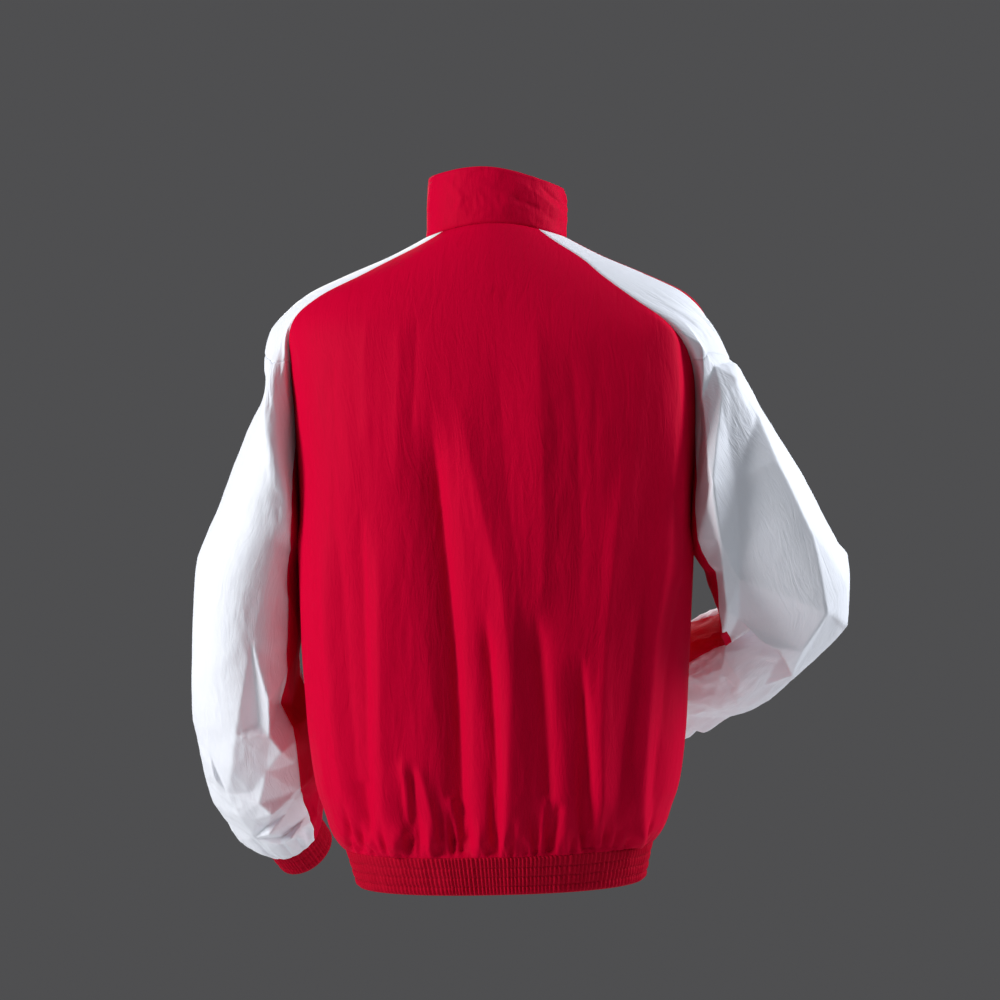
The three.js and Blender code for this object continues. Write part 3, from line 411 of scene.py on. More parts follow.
# The nylon itself: a fine plain weave, washed so that it has set into small upright crinkles.
def crinkle_group():
    """Node group: crinkles are ridged noise stretched down the cloth at two sizes, and the weave is a fine
    product of two waves. The hollows are painted darker than the crests, as painted shade, and the
    roughness wanders in broad patches."""
    group = bpy.data.node_groups.new("crinkled nylon", "ShaderNodeTree")
    for socket, kind, value in (
        ("Colour", "NodeSocketColor", (0.5, 0.5, 0.5, 1)),
        ("Painted hollow shade", "NodeSocketColor", (0.4, 0.4, 0.4, 1)),
        ("Roughness", "NodeSocketFloat", 0.5), ("Crinkle", "NodeSocketFloat", 1.0),
    ):
        group.interface.new_socket(socket, in_out="INPUT", socket_type=kind).default_value = value
    for socket, kind in (
        ("Colour", "NodeSocketColor"), ("Roughness", "NodeSocketFloat"), ("Height", "NodeSocketFloat"),
    ):
        group.interface.new_socket(socket, in_out="OUTPUT", socket_type=kind)
    nodes, links = group.nodes, group.links
    given, out = nodes.new("NodeGroupInput"), nodes.new("NodeGroupOutput")
    cloth = nodes.new("ShaderNodeTexCoord")

    def math(kind, a, b=None):
        node = nodes.new("ShaderNodeMath")
        node.operation = kind
        for socket, value in zip(node.inputs, (a, b)):
            if isinstance(value, (int, float)):
                socket.default_value = value
            elif value is not None:
                links.new(value, socket)
        return node.outputs[0]

    def noise(per_metre_across, per_metre_down, detail, distortion):
        stretch = nodes.new("ShaderNodeMapping")
        stretch.inputs["Scale"].default_value = (per_metre_across, per_metre_down, 1)
        links.new(cloth.outputs["UV"], stretch.inputs["Vector"])
        node = nodes.new("ShaderNodeTexNoise")
        node.noise_dimensions = "2D"
        node.inputs["Scale"].default_value = 1
        node.inputs["Detail"].default_value = detail
        node.inputs["Distortion"].default_value = distortion
        links.new(stretch.outputs["Vector"], node.inputs["Vector"])
        return node.outputs["Fac"]

    def ridged(value):
        return math("MULTIPLY", math("ABSOLUTE", math("SUBTRACT", value, 0.5)), -2.0)

    fine = ridged(noise(230, 52, 3, 0.5))
    broad = ridged(noise(70, 16, 3, 0.8))
    patches = noise(14, 7, 2, 0.3)
    weave = nodes.new("ShaderNodeTexWave")
    weave.bands_direction = "DIAGONAL"
    weave.inputs["Scale"].default_value = 420
    links.new(cloth.outputs["UV"], weave.inputs["Vector"])
    strength = math("MULTIPLY", math("MULTIPLY_ADD", patches, 1.6), given.outputs["Crinkle"])
    relief = math("ADD", math("MULTIPLY", fine, 0.55), broad)
    height = math("ADD", math("MULTIPLY", relief, strength), math("MULTIPLY", weave.outputs["Fac"], 0.03))
    links.new(height, out.inputs["Height"])
    # The tint paints the hollows of the crinkles darker than the crests: painted shade.
    tint = nodes.new("ShaderNodeMix")
    tint.data_type = "RGBA"
    links.new(math("MULTIPLY_ADD", relief, 0.5), tint.inputs[0])
    tint.inputs[0].default_value = 0.5
    links.new(given.outputs["Painted hollow shade"], tint.inputs[6])
    links.new(given.outputs["Colour"], tint.inputs[7])
    links.new(tint.outputs[2], out.inputs["Colour"])
    sheen = math("ADD", given.outputs["Roughness"], math("MULTIPLY", math("SUBTRACT", patches, 0.5), 0.12))
    links.new(sheen, out.inputs["Roughness"])
    return group


crinkled = crinkle_group()


def nylon(name, colour, hollow_shade, roughness, crinkle, bump=0.0006, gloss=0.02):
    """Nylon cloth in one dye: the crinkle group drives its colour, with painted shade in the hollows of its
    crinkles, and its roughness and relief.
    """
    material = bpy.data.materials.new(name)
    material.use_nodes = True
    nodes, links = material.node_tree.nodes, material.node_tree.links
    shader = nodes["Principled BSDF"]
    cloth = nodes.new("ShaderNodeGroup")
    cloth.node_tree = crinkled
    cloth.inputs["Colour"].default_value = (*colour, 1)
    cloth.inputs["Painted hollow shade"].default_value = (*hollow_shade, 1)
    cloth.inputs["Roughness"].default_value = roughness
    cloth.inputs["Crinkle"].default_value = crinkle
    relief = nodes.new("ShaderNodeBump")
    relief.inputs["Distance"].default_value = bump
    links.new(cloth.outputs["Colour"], shader.inputs["Base Color"])
    links.new(cloth.outputs["Roughness"], shader.inputs["Roughness"])
    links.new(cloth.outputs["Height"], relief.inputs["Height"])
    links.new(relief.outputs["Normal"], shader.inputs["Normal"])
    shader.inputs["Specular IOR Level"].default_value = gloss
    return material


# The second colour is painted shade for the hollows of the crinkles.
red_nylon = nylon("red nylon", (0.62, 0.0004, 0.034), (0.54, 0.0002, 0.026), 0.6, 0.5)


# What each panel of the body was cut to: width and length in metres, and its area in square metres.
BODY_CUTS = {
    "back": ((0.60, 0.68), 0.33), "front_left": ((0.31, 0.66), 0.156), "front_right": ((0.33, 0.68), 0.17),
}


def body_panel(name, from_edge, to_edge, count, rows):
    """A panel of the body between two edges, each an angle for every drop."""
    drop = NECK + (HEM - NECK) * (1.35 * shares(rows) - 0.35 * shares(rows) ** 3)[:, None]
    start, end = from_edge(drop), to_edge(drop)
    share = shares(count)[None, :]
    angle = start + (end - start) * share
    drop = np.broadcast_to(drop, angle.shape)
    flat = body_form(angle, drop)
    run = np.cumsum(np.linalg.norm(np.diff(flat, axis=1, prepend=flat[:, :1]), axis=-1), axis=1)
    points = body_cloth(angle, drop, np.minimum(run, run[:, -1:] - run))
    points = points + armhole_draw(start + 0 * angle, drop, run, 20)
    if name == "back":
        points = points + armhole_draw(end + 0 * angle, drop, run[:, -1:] - run, 20)
    normals = face_of(body_form, angle, drop, 0.01, 1.0)
    outwards = flat * [1, 1, 0]
    if np.sum(normals * outwards) < 0:
        normals = -normals
    piece = cloth_piece(name + "_cloth", seam_roll(points, normals), outwards)
    piece.data.materials.append(red_nylon)
    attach(piece, "jacket")
    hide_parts(name)
    flat, area = BODY_CUTS[name]
    return piece


def armhole_draw(edge, drop, distance, slope):
    """The seam of the armhole pulls the cloth in towards the arm's middle, from the back and from the front,
    by 16 mm * exp(-(distance / slope)^2), between the shoulder and the armpit."""
    depth = 16 * smooth(80, 170, drop) * smooth(ARMPIT, ARMPIT - 60, drop)
    depth = depth * np.exp(-((distance / slope) ** 2))
    return -depth[..., None] * np.sign(np.cos(edge))[..., None] * [0, 1, 0]


def panel_edge(rows, name, side):
    return lambda drop: side * np.radians(np.where(drop < ARMPIT, curve(rows, "drop", name, drop), 90))


def zip_edge(side):
    """The front edge beside the zip, half the zip's 9 mm from the middle front."""
    return lambda drop: side * (np.pi - 4.5 / curve(BODY, "drop", "front_depth", drop))


back = body_panel("back", panel_edge(LEFT_EDGES, "back", 1), panel_edge(RIGHT_EDGES, "back", -1), 220, 190)
front_left = body_panel("front_left", panel_edge(LEFT_EDGES, "front", 1), zip_edge(1), 100, 180)
front_right = body_panel("front_right", panel_edge(RIGHT_EDGES, "front", -1), zip_edge(-1), 100, 180)


# Raglan sleeves: white nylon from the collar to the cuff, with a seam across the upper arm and a red panel
# under the arm. The left arm hangs and the right one is bent, so its cloth piles up inside the elbow.
LEFT_ARM = columns("station out y z across deep twist", [
    [66, 180, 2, -94, 50, 60, 0], [104, 194, 2, -118, 58, 66, 0], [160, 197, 2, -168, 41, 71, 0],
    [230, 215, 0, -218, 47, 74, 0], [330, 247, -7, -301, 46, 74, 0], [365, 257, -11, -334, 50, 74, 0],
    [400, 263, -16, -367, 53, 73, 0], [460, 266, -26, -420, 55, 72, 0], [520, 268, -48, -475, 58, 70, 0],
    [580, 269, -80, -524, 60, 66, 0], [640, 268, -114, -566, 60, 62, 0], [700, 264, -145, -601, 56, 56, 0],
    [750, 255, -172, -630, 49, 47, 0], [785, 243, -191, -653, 35, 37, 0],
])
RIGHT_ARM = columns("station out y z across deep twist", [
    [66, 172, 2, -95, 50, 62, 0], [104, 186, 2, -112, 54, 68, 0], [160, 190, 2, -150, 60, 74, 0],
    [230, 217, 0, -209, 68, 77, 0], [330, 266, -2, -296, 68, 76, 0], [365, 283, -4, -325, 67, 76, -6],
    [400, 298, -8, -350, 66, 74, -12], [430, 307, -16, -372, 62, 68, -17], [460, 307, -32, -392, 58, 58, -20],
    [520, 293, -76, -420, 56, 51, -20], [580, 266, -118, -443, 58, 54, -20],
    [640, 236, -160, -461, 58, 59, -20],
    [700, 203, -198, -479, 54, 53, -20], [750, 172, -231, -494, 46, 45, -20],
    [785, 150, -252, -504, 35, 37, -20],
])
WRIST = 785.0
HALF_ROUND = 205.0  # millimetres of half the sleeve's girth

# Sleeve folds by place round the sleeve (0 on its outer side, -102 at its back, 205 under the arm) and
# station down it, in millimetres: depth outwards, slide down the arm, two widths, crispness and the line.
LEFT_SLEEVE_FOLDS = [
    (-3, 0, 9, 8, 1.4, [(10, 240), (14, 380), (0, 520), (-8, 640)]),
    (-5, 2, 10, 9, 1.5, [(70, 545), (110, 565), (150, 590)]),
    (5, 2, 10, 10, 1.5, [(60, 590), (105, 610), (150, 628)]),
    (-5, 3, 9, 9, 1.5, [(50, 650), (100, 655), (150, 668)]),
    (-4, 2, 8, 8, 1.4, [(30, 738), (80, 730), (130, 722)]),
    (-3, 0, 7, 6, 1.4, [(-30, 745), (0, 742), (40, 756)]),
    (-3, 0, 9, 9, 1.4, [(90, 200), (84, 320), (96, 440)]),
    (3, 0, 9, 9, 1.4, [(130, 230), (136, 340), (128, 450)]),
]
RIGHT_SLEEVE_FOLDS = [
    (8, 5, 12, 9, 1.5, [(100, 462), (140, 476), (180, 492)]),
    (-10, 3, 10, 10, 1.5, [(96, 500), (140, 512), (180, 524)]),
    (6, 4, 10, 10, 1.5, [(100, 540), (140, 548), (180, 552)]),
    (-4, 0, 8, 8, 1.4, [(60, 700), (0, 712), (-60, 716), (-120, 722)]),
    (3, 0, 8, 8, 1.4, [(40, 745), (-40, 750), (-110, 752)]),
    (-4, 0, 10, 10, 1.4, [(84, 170), (70, 260), (78, 350), (90, 440)]),
    (3, 0, 9, 10, 1.4, [(120, 200), (112, 300), (124, 410)]),
    (-3, 0, 8, 8, 1.4, [(40, 560), (30, 640), (44, 720)]),
]

# Where an arm bends, the nylon buckles into flat facets with sharp edges, as paper does. Each corner is a
# place on the cloth and the way it has moved, in millimetres to the wearer's left, to the back and upwards.
# The numbers in the creases name the corners that a crease joins.
LEFT_FACETS = columns("run station x y z flat", [
    [-55, 78, -5, 0, 11, 0.3], [-70, 106, 1, 0, 8, 0.3], [-76, 140, -4, 0, 7, 0.3],
    [-60, 172, -1, 0, 10, 0.3], [-20, 255, 2, 0, 0, 0.3], [-15, 320, 2, 0, 2, 0.3],
    [-18, 378, 6, 0, 3, 0.3], [-20, 410, 4, 0, 4, 0.3], [-20, 500, 3, 0, -5, 0.3], [-20, 545, 4, 0, 1, 0.3],
    [-20, 590, 2, 0, 3, 0.3], [-25, 650, 2, 0, 6, 0.3], [-30, 690, 3, 0, 4, 0.3], [-35, 718, 1, 0, 3, 0.3],
    [-38, 748, 1, 0, -3, 0.3], [-140, 112, -6, 2, -2, 0], [-98, 179, 0, 3, 0, 0], [-108, 236, 0, 6, 0, 0],
    [-121, 289, 0, 8, 0, 0], [-143, 340, -1, 7, 0, 0], [-138, 396, 0, 4, 0, 0], [-124, 445, 0, 2, 0, 0],
    [-178, 413, -2, 0, 0, 0.3], [-192, 450, -2, 2, -2, 0.3], [-184, 474, -1, 2, 3, 0.3],
    [-166, 484, 1, 4, -2, 0.8], [-143, 500, 0, 8, -6, 0.8], [-168, 510, 14, -17, -7, 0.8],
    [-192, 512, 12, -23, -19, 0.8], [-125, 525, 0, -8, 0, 0.8], [-170, 546, 2, -4, 0, 0.8],
    [-140, 543, 0, 9, 1, 0.8], [-153, 568, -1, 19, 0, 0.8], [-170, 566, 0, 2, 1, 0.8],
    [-166, 597, 1, -6, 1, 0.8], [-130, 592, 1, 6, 4, 0.8], [-106, 616, 0, -4, 0, 0.8],
    [-165, 640, 2, -1, -2, 0.8], [-114, 640, 0, 8, 2, 0.8], [-125, 661, -2, 15, 0, 0.8],
    [-114, 690, 1, -9, 0, 0.8], [-163, 713, 1, -11, 0, 0.8], [-140, 690, 1, -3, 8, 0.8],
    [-84, 721, 0, -7, 0, 0.8], [-112, 706, -1, 7, -1, 0.8], [-125, 719, 0, -13, -3, 0.8],
    [-135, 736, -1, 9, 0, 0.8], [-186, 741, -1, 2, 1, 0.8], [-112, 752, -2, 8, 4, 0.8],
    [-99, 536, 0, 3, 0, 0.5], [-56, 572, 1, -4, 1, 0.8], [-77, 624, 1, -5, 0, 0.5],
    [-88, 584, -1, 4, 0, 0.5], [-84, 665, -1, 3, 0, 0.8], [-104, 672, 0, 3, 0, 0.8],
    [-60, 604, 0, 3, 0, 0.5], [-205, 85, 0, 0, 0, 0], [-205, 140, 0, 0, 0, 0], [-205, 200, 0, 0, 0, 0],
    [-205, 260, 0, 0, 0, 0], [-205, 310, 0, 0, 0, 0], [-222, 350, 0, 0, 0, 0], [-235, 400, 0, 0, 0, 0],
    [-250, 450, 0, 0, 0, 0], [-256, 520, 0, 0, 0, 0], [-256, 600, 0, 0, 0, 0], [-250, 700, 0, 0, 0, 0],
    [-235, 775, 0, 0, 0, 0], [-160, 779, 0, 0, 0, 0], [-100, 779, 0, 0, 0, 0], [-30, 775, 0, 0, 0, 0],
    [50, 770, 0, 0, 0, 0], [-205, 560, 0, -2, 0, 0.5], [-205, 605, 0, -6, 0, 0.5],
    [-205, 655, 0, 3, 0, 0.5], [-205, 700, 0, -4, 0, 0.5], [-140, 62, 0, 0, 0, 0], [-55, 58, 0, 0, 0, 0],
    [40, 66, 0, 0, 0, 0], [60, 120, 0, 0, 0, 0], [56, 200, 0, 0, 0, 0], [60, 280, 0, 0, 0, 0],
    [64, 360, 0, 0, 0, 0], [60, 440, 0, 0, 0, 0], [60, 520, 0, 0, 0, 0], [60, 600, 0, 0, 0, 0],
    [56, 690, 0, 0, 0, 0],
])
LEFT_CREASES = [
    (15, 16, 17, 18, 19, 20, 21), (0, 1, 2, 3, 4, 5, 6, 7, 8, 9, 10), (22, 23, 24, 25, 26), (26, 29),
    (29, 31, 32), (32, 35, 36), (36, 38, 39), (39, 40, 44), (40, 37), (26, 27, 28), (31, 30), (41, 42, 40),
    (43, 44, 41), (45, 41), (43, 45), (45, 46), (50, 51, 53), (50, 55),
]
RIGHT_FACETS = columns("run station x y z flat", [
    [-30, 142, 0, 2, 0, 0.5], [-154, 116, -1, 5, -1, 0.7], [-188, 172, 1, 6, -4, 0.7],
    [-174, 217, -1, 9, 0, 0.7], [-131, 276, -2, 10, 0, 0.7], [-141, 328, -1, 10, 0, 0.7],
    [-150, 357, 2, 7, -1, 0.7], [-155, 400, 11, 5, -6, 0.7], [-110, 150, 14, -2, 3, 0.8],
    [-122, 200, 3, -5, 5, 0.8], [-98, 285, 1, -10, 0, 0.8], [-108, 311, 1, -11, -1, 0.8],
    [-130, 373, 6, -11, -2, 0.8], [-145, 425, 12, -5, 2, 0.8], [-59, 186, 0, 4, 0, 0.5],
    [-39, 234, 0, 5, 0, 0.5], [-50, 288, -1, 7, 0, 0.5], [-50, 335, 0, 7, 0, 0.5], [-46, 369, 0, 4, 0, 0.5],
    [-20, 175, -4, 0, -4, 0.5], [-5, 230, 2, 0, -1, 0.5], [-5, 317, -1, 0, 1, 0.5],
    [0, 395, -2, 0, -4, 0.5], [5, 412, -4, 0, 4, 0.5], [4, 426, -1, 0, 10, 0.5], [-5, 452, -2, 0, -7, 0.5],
    [-15, 472, -8, -1, 10, 0.5], [-25, 500, -1, 0, 7, 0.5], [-38, 550, 2, 0, 4, 0.5],
    [-45, 590, 1, 0, 1, 0.5], [-50, 665, -1, 0, 4, 0.5], [-50, 705, 3, 0, -9, 0.5],
    [-50, 742, 0, 0, -11, 0.5], [-18, 424, 0, 3, 3, 0.8], [-57, 429, -1, 6, 0, 0.8],
    [-81, 455, -1, 7, 1, 0.8], [-66, 512, 3, 4, 0, 0.8], [-186, 468, 9, 7, -35, 1],
    [-165, 464, 5, 9, -16, 1], [-145, 448, 0, 10, 1, 1], [-131, 455, -1, 10, 0, 1],
    [-117, 458, -1, 10, 1, 1], [-106, 461, -1, 9, 2, 1], [-91, 477, 0, 7, 1, 1],
    [-186, 490, 6, -16, -16, 1], [-165, 484, 3, -20, 2, 1], [-145, 466, -1, -20, 20, 1],
    [-131, 473, -3, -20, 20, 1], [-117, 477, -3, -18, 20, 1], [-104, 481, -1, -14, 21, 1],
    [-86, 496, 2, -6, 15, 1], [-162, 520, 5, -8, -7, 0.5], [-140, 512, 1, -8, 7, 0.5],
    [-118, 512, -4, -6, 12, 0.5], [-98, 524, -9, -3, 14, 0.5], [-120, 552, 0, -6, 0, 0.5],
    [-88, 598, 0, -7, 3, 0.5], [-140, 575, -5, 4, 8, 0.5], [-80, 565, -5, 3, 12, 0.5],
    [-105, 640, -5, 3, 11, 0.5], [-150, 640, -7, 1, 7, 0.5], [-95, 700, -6, 0, 10, 0.5],
    [-174, 319, 1, 2, -2, 0.4], [-171, 345, 0, 2, 0, 0.4], [-170, 362, 0, 1, 6, 0.4],
    [-172, 400, 11, 0, -7, 0.4], [-176, 440, 15, 0, -25, 0.4], [-205, 140, 0, 0, 0, 0],
    [-206, 200, 0, 0, 0, 0], [-206, 260, 0, 0, 0, 0], [-206, 300, 0, 0, 0, 0], [-222, 350, 0, 0, 0, 0],
    [-232, 400, 0, 0, 0, 0], [-240, 450, 0, 0, 0, 0], [-240, 500, 0, 0, 0, 0], [-240, 560, 0, 0, 0, 0],
    [-235, 640, 0, 0, 0, 0], [-220, 720, 0, 0, 0, 0], [-205, 775, 0, 0, 0, 0], [-130, 778, 0, 0, 0, 0],
    [-20, 778, 0, 0, 0, 0], [60, 770, 0, 0, 0, 0], [70, 130, 0, 0, 0, 0], [70, 200, 0, 0, 0, 0],
    [70, 270, 0, 0, 0, 0], [74, 340, 0, 0, 0, 0], [76, 410, 0, 0, 0, 0], [70, 470, 0, 0, 0, 0],
    [64, 540, 0, 0, 0, 0], [60, 610, 0, 0, 0, 0], [60, 690, 0, 0, 0, 0], [-205, 98, 0, 0, 0, 0],
    [-140, 96, 0, 0, 0, 0], [-60, 100, 0, 0, 0, 0], [20, 106, 0, 0, 0, 0],
])
RIGHT_CREASES = [
    (1, 2, 3, 4, 5, 6, 7, 37), (8, 9, 10, 11, 12, 13, 39), (0, 14, 15, 16, 17, 18, 33), (33, 34, 35, 43),
    (34, 36), (37, 38, 39, 40, 41, 42, 43, 36), (44, 45, 46, 47, 48, 49, 50), (55, 56),
    (62, 63, 64, 65, 66), (20, 21, 22, 23, 24, 25, 26, 27, 28, 29), (73, 37), (74, 44),
]


def facets(run, station, round_form, sleeve):
    """How far the cloth moves to lie in flat facets, and how flat it is there. A Delaunay net joins the moved
    corners, with the creases as fixed edges. Inside a triangle the cloth goes from the round form towards the
    plane of the three corners by the share that their own flatness gives, straight blended between them."""
    corners = sleeve.corners
    places = [tuple(map(float, place)) for place in zip(corners["run"], corners["station"])]
    ties = [(a, b) for crease in sleeve.creases for a, b in zip(crease[:-1], crease[1:])]
    net, _, triangles, kept, _, _ = delaunay_2d_cdt([Vector(p) for p in places], ties, [], 0, 1e-6)
    moves = np.stack([corners["x"], corners["y"], corners["z"]], axis=-1)
    on_form = sleeve.form(corners["run"] / HALF_ROUND, corners["station"])
    moved, flat = np.zeros(run.shape + (3,)), np.zeros(run.shape)
    for triangle in triangles:
        (ax, ay), (bx, by), (cx, cy) = (net[k] for k in triangle)
        wide = (by - cy) * (ax - cx) + (cx - bx) * (ay - cy)
        a = ((by - cy) * (run - cx) + (cx - bx) * (station - cy)) / wide
        b = ((cy - ay) * (run - cx) + (ax - cx) * (station - cy)) / wide
        inside = (a >= 0) & (b >= 0) & (a + b <= 1)
        three = [kept[k][0] for k in triangle]
        shares_of = np.stack([a, b, 1 - a - b], axis=-1)
        level = shares_of @ corners["flat"][three]
        blend = level[..., None] * (shares_of @ on_form[three] - round_form) + shares_of @ moves[three]
        moved = np.where(inside[..., None], blend, moved)
        flat = np.where(inside, level, flat)
    return moved, flat


class Sleeve:
    """One sleeve: side is 1 on the wearer's left. Places round it run from -1 under the arm by its back, its
    outer side (0) and its front to 1, and stations run down it in millimetres."""

    def __init__(self, side, arm, edges, folds, corners, creases):
        self.side, self.arm, self.edges, self.folds = side, arm, edges, folds
        self.corners, self.creases = corners, creases
        self.at = np.arange(arm["station"][0], WRIST + 5, 5.0)
        back, backs = np.array([0.0, 1.0, 0.0]), []
        for down in self.down(self.at):
            back = back - down * (down @ back)
            back = back / np.linalg.norm(back)
            backs.append(back)
        self.backs = np.array(backs)
        armpit = body_form(np.array(side * np.pi / 2), np.array(ARMPIT))
        self.armpit_slip = armpit - self.tube(np.array(1.0), np.array(ARMPIT), np.pi)

    def centre(self, station):
        x, y, z = (curve(self.arm, "station", name, station) for name in ("out", "y", "z"))
        return np.stack([self.side * x, y, z], axis=-1)

    def down(self, station):
        first, last = self.arm["station"][0], self.arm["station"][-1]
        at = np.clip(station, first, last)
        way = self.centre(np.minimum(at + 12, last)) - self.centre(np.maximum(at - 12, first))
        return way / np.linalg.norm(way, axis=-1, keepdims=True)

    def axes(self, station):
        """The tube's directions. Each step's is turned from the one before by the least that the bend needs."""
        down = self.down(station)
        back = np.stack([np.interp(station, self.at, self.backs[:, i]) for i in range(3)], axis=-1)
        back = back - down * np.sum(down * back, axis=-1, keepdims=True)
        back = back / np.linalg.norm(back, axis=-1, keepdims=True)
        return down, back, np.cross(down, back) * self.side

    def tube(self, around, station, spread):
        """An ellipse across the arm: centre + out * across * cos(turn) - back * deep * sin(turn)."""
        _, back, out = self.axes(station)
        turn = around * spread + np.radians(curve(self.arm, "station", "twist", station))
        across = curve(self.arm, "station", "across", station) * np.cos(turn)
        deep = curve(self.arm, "station", "deep", station) * np.sin(turn)
        return self.centre(station) + out * across[..., None] - back * deep[..., None]

    def form(self, around, station):
        """Above the shoulder the sleeve lies on the body's form, between the panels' edges. Round the
        shoulder it turns into the tube, with its two ends drawn in to the armhole. Below it is free."""
        around, station = np.broadcast_arrays(np.asarray(around, float), np.asarray(station, float))
        around = np.where(around > 1, around - 2, np.where(around < -1, around + 2, around))
        start = 0.65 * smooth(DROP_SEAM, 300, station) - 0.1
        near_back = smooth(start, 1, -around)[..., None]
        near_front = smooth(start, 1, around)[..., None]
        hold = (near_back + near_front) * smooth(ARMPIT + 110, ARMPIT, station)[..., None]
        below = self.tube(around, station, np.pi) + self.armpit_slip * hold
        edge_back = self.side * np.radians(curve(self.edges, "drop", "back", station))
        edge_front = self.side * np.radians(curve(self.edges, "drop", "front", station))
        on_body = body_form(edge_back + (edge_front - edge_back) * (around + 1) / 2, station)
        spread = np.radians(95 + 85 * smooth(62, ARMPIT, station))
        ends = np.ones_like(around)
        slip_back = body_form(edge_back, station) - self.tube(-ends, station, spread)
        slip_front = body_form(edge_front, station) - self.tube(ends, station, spread)
        drawn = self.tube(around, station, spread) + slip_back * near_back + slip_front * near_front
        free = smooth(62, 160, station)[..., None]
        above = on_body * (1 - free) + drawn * free
        return np.where((station >= ARMPIT)[..., None], below, above)

    def face(self, around, station):
        """Unit normals away from the arm."""
        clear = np.minimum(station, WRIST - 2)
        normal = face_of(self.form, np.clip(around, -0.99, 0.99), clear, 0.01, 1.5)
        return normal * self.side

    def cloth(self, around, station):
        """The form with its folds, the gathers over the cuff and small crumples. Beside the armhole and at
        the cuff they calm down."""
        run = around * HALF_ROUND
        out, slide = np.zeros(run.shape), np.zeros(run.shape)
        for depth, slip, one, other, crisp, points in self.folds:
            for turn in (0, -2 * HALF_ROUND, 2 * HALF_ROUND):
                shape = laid_folds(run + turn, station, [(1, one, other, crisp, points)])
                out += depth * shape
                slide += slip * shape
        lower = smooth(430, 640, station)
        circle = 2 * HALF_ROUND
        seamless = np.where(run < 0, run + circle, run)
        blend = smooth(0, 60, np.abs(run))
        wavy = (ripple(run, station, 22, 60, 21 + self.side) * (1 - blend)
                + ripple(seamless, station, 22, 60, 21 + self.side) * blend)
        creased = (crumple(run, station, 13, 20, 31 + self.side) * (1 - blend)
                   + crumple(seamless, station, 13, 20, 31 + self.side) * blend)
        round_form = self.form(around, station)
        near, flat_near = facets(run, station, round_form, self)
        far, flat_far = facets(run - circle, station, round_form, self)
        flat = np.maximum(flat_near, flat_far)
        out += ((1.0 + 1.6 * lower) * wavy + (0.35 + 0.8 * lower) * creased) * (1 - 0.7 * flat)
        pleat = ripple(np.sin(np.pi * around) * 130, np.cos(np.pi * around) * 130, 14, 14, 41 + self.side)
        out += 4.0 * smooth(715, 765, station) * pleat * (1 - 0.5 * flat)
        beside = np.where(station < ARMPIT, smooth(0, 0.09, 1 - np.abs(around)), 1)
        calm = smooth(40, 110, station) * beside * (1 - 0.8 * smooth(764, WRIST, station))
        calm = calm * (1 - (1 - smooth(0, 40, np.abs(station - ARMPIT))) * (np.abs(around) > 0.9))
        down, _, _ = self.axes(station)
        moved = out[..., None] * self.face(around, station) + slide[..., None] * down + near + far
        cloth = round_form + moved * calm[..., None] + 0.9 * self.face(around, station)
        for end, name in ((-1, "back"), (1, "front")):
            edge = self.side * np.radians(curve(self.edges, "drop", name, station))
            cloth = cloth + armhole_draw(edge, station, (1 - end * around) * HALF_ROUND, 8)
        return cloth


left_sleeve = Sleeve(1, LEFT_ARM, LEFT_EDGES, LEFT_SLEEVE_FOLDS, LEFT_FACETS, LEFT_CREASES)
right_sleeve = Sleeve(-1, RIGHT_ARM, RIGHT_EDGES, RIGHT_SLEEVE_FOLDS, RIGHT_FACETS, RIGHT_CREASES)
# The second colour is painted shade for the hollows of the crinkles.
white_nylon = nylon("white nylon", (0.88, 0.90, 0.95), (0.82, 0.85, 0.93), 0.5, 0.5, gloss=0.15)


def white_reach(station):
    """How far round the white cloth reaches: right round to the armhole, then less as the red one widens."""
    return 1 - 0.16 * smooth(195, ARMPIT, station)


# What each piece of the sleeves was cut to, in metres and square metres.
SLEEVE_CUTS = {
    "shoulder_left": ((0.30, 0.15), 0.0255), "shoulder_right": ((0.22, 0.15), 0.0155),
    "sleeve_left": ((0.44, 0.68), 0.186), "sleeve_right": ((0.44, 0.68), 0.19),
    "under_sleeve_left": ((0.12, 0.6), 0.03), "under_sleeve_right": ((0.12, 0.6), 0.027),
}


def sleeve_piece(name, sleeve, around, station, material):
    around, station = np.broadcast_arrays(around, station)
    points, normals = sleeve.cloth(around, station), sleeve.face(around, station)
    piece = cloth_piece(name + "_cloth", seam_roll(points, normals), normals)
    piece.data.materials.append(material)
    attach(piece, "jacket")
    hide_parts(name)
    flat, area = SLEEVE_CUTS[name]
    return piece


PANEL_STARTS = columns("share station", [[0, 332], [0.25, 308], [0.5, 275], [0.75, 235], [1, 195]])
sleeves = {}
for hand, sleeve in (("left", left_sleeve), ("right", right_sleeve)):
    station = NECK + (DROP_SEAM - NECK) * shares(64, 0.012)[:, None]
    around = 2 * shares(84, 0.01)[None, :] - 1
    sleeves["shoulder_" + hand] = sleeve_piece(
        "shoulder_" + hand, sleeve, around, station, white_nylon)
    station = DROP_SEAM + (WRIST - DROP_SEAM) * shares(226, 0.003)[:, None]
    around = white_reach(station) * (2 * shares(164, 0.004)[None, :] - 1)
    sleeves["sleeve_" + hand] = sleeve_piece(
        "sleeve_" + hand, sleeve, around, station, white_nylon)
    # The panel's upper edge runs down the armhole, round the armpit and up again, so each of its columns
    # starts at a station of its own. From station 460 its rows are level.
    across = np.linspace(-1, 1, 51)[None, :]
    level = 195 + (WRIST - 195) * shares(150, 0.004)[:, None]
    start = curve(PANEL_STARTS, "share", "station", np.abs(across))
    station = np.where(level < 460, start + (level - 195) / 265 * (460 - start), level)
    settled = smooth(0, 1, (station - start) / (90 * np.sqrt(1.001 - np.abs(across)) + 1))
    share = 1 - np.abs(across) * np.where(np.abs(across) == 1, 1, settled)
    reach = white_reach(station) + (1 - white_reach(station)) * share
    around = np.where(across < 0, reach, -reach)
    sleeves["under_sleeve_" + hand] = sleeve_piece(
        "under_sleeve_" + hand, sleeve, around, station, red_nylon)


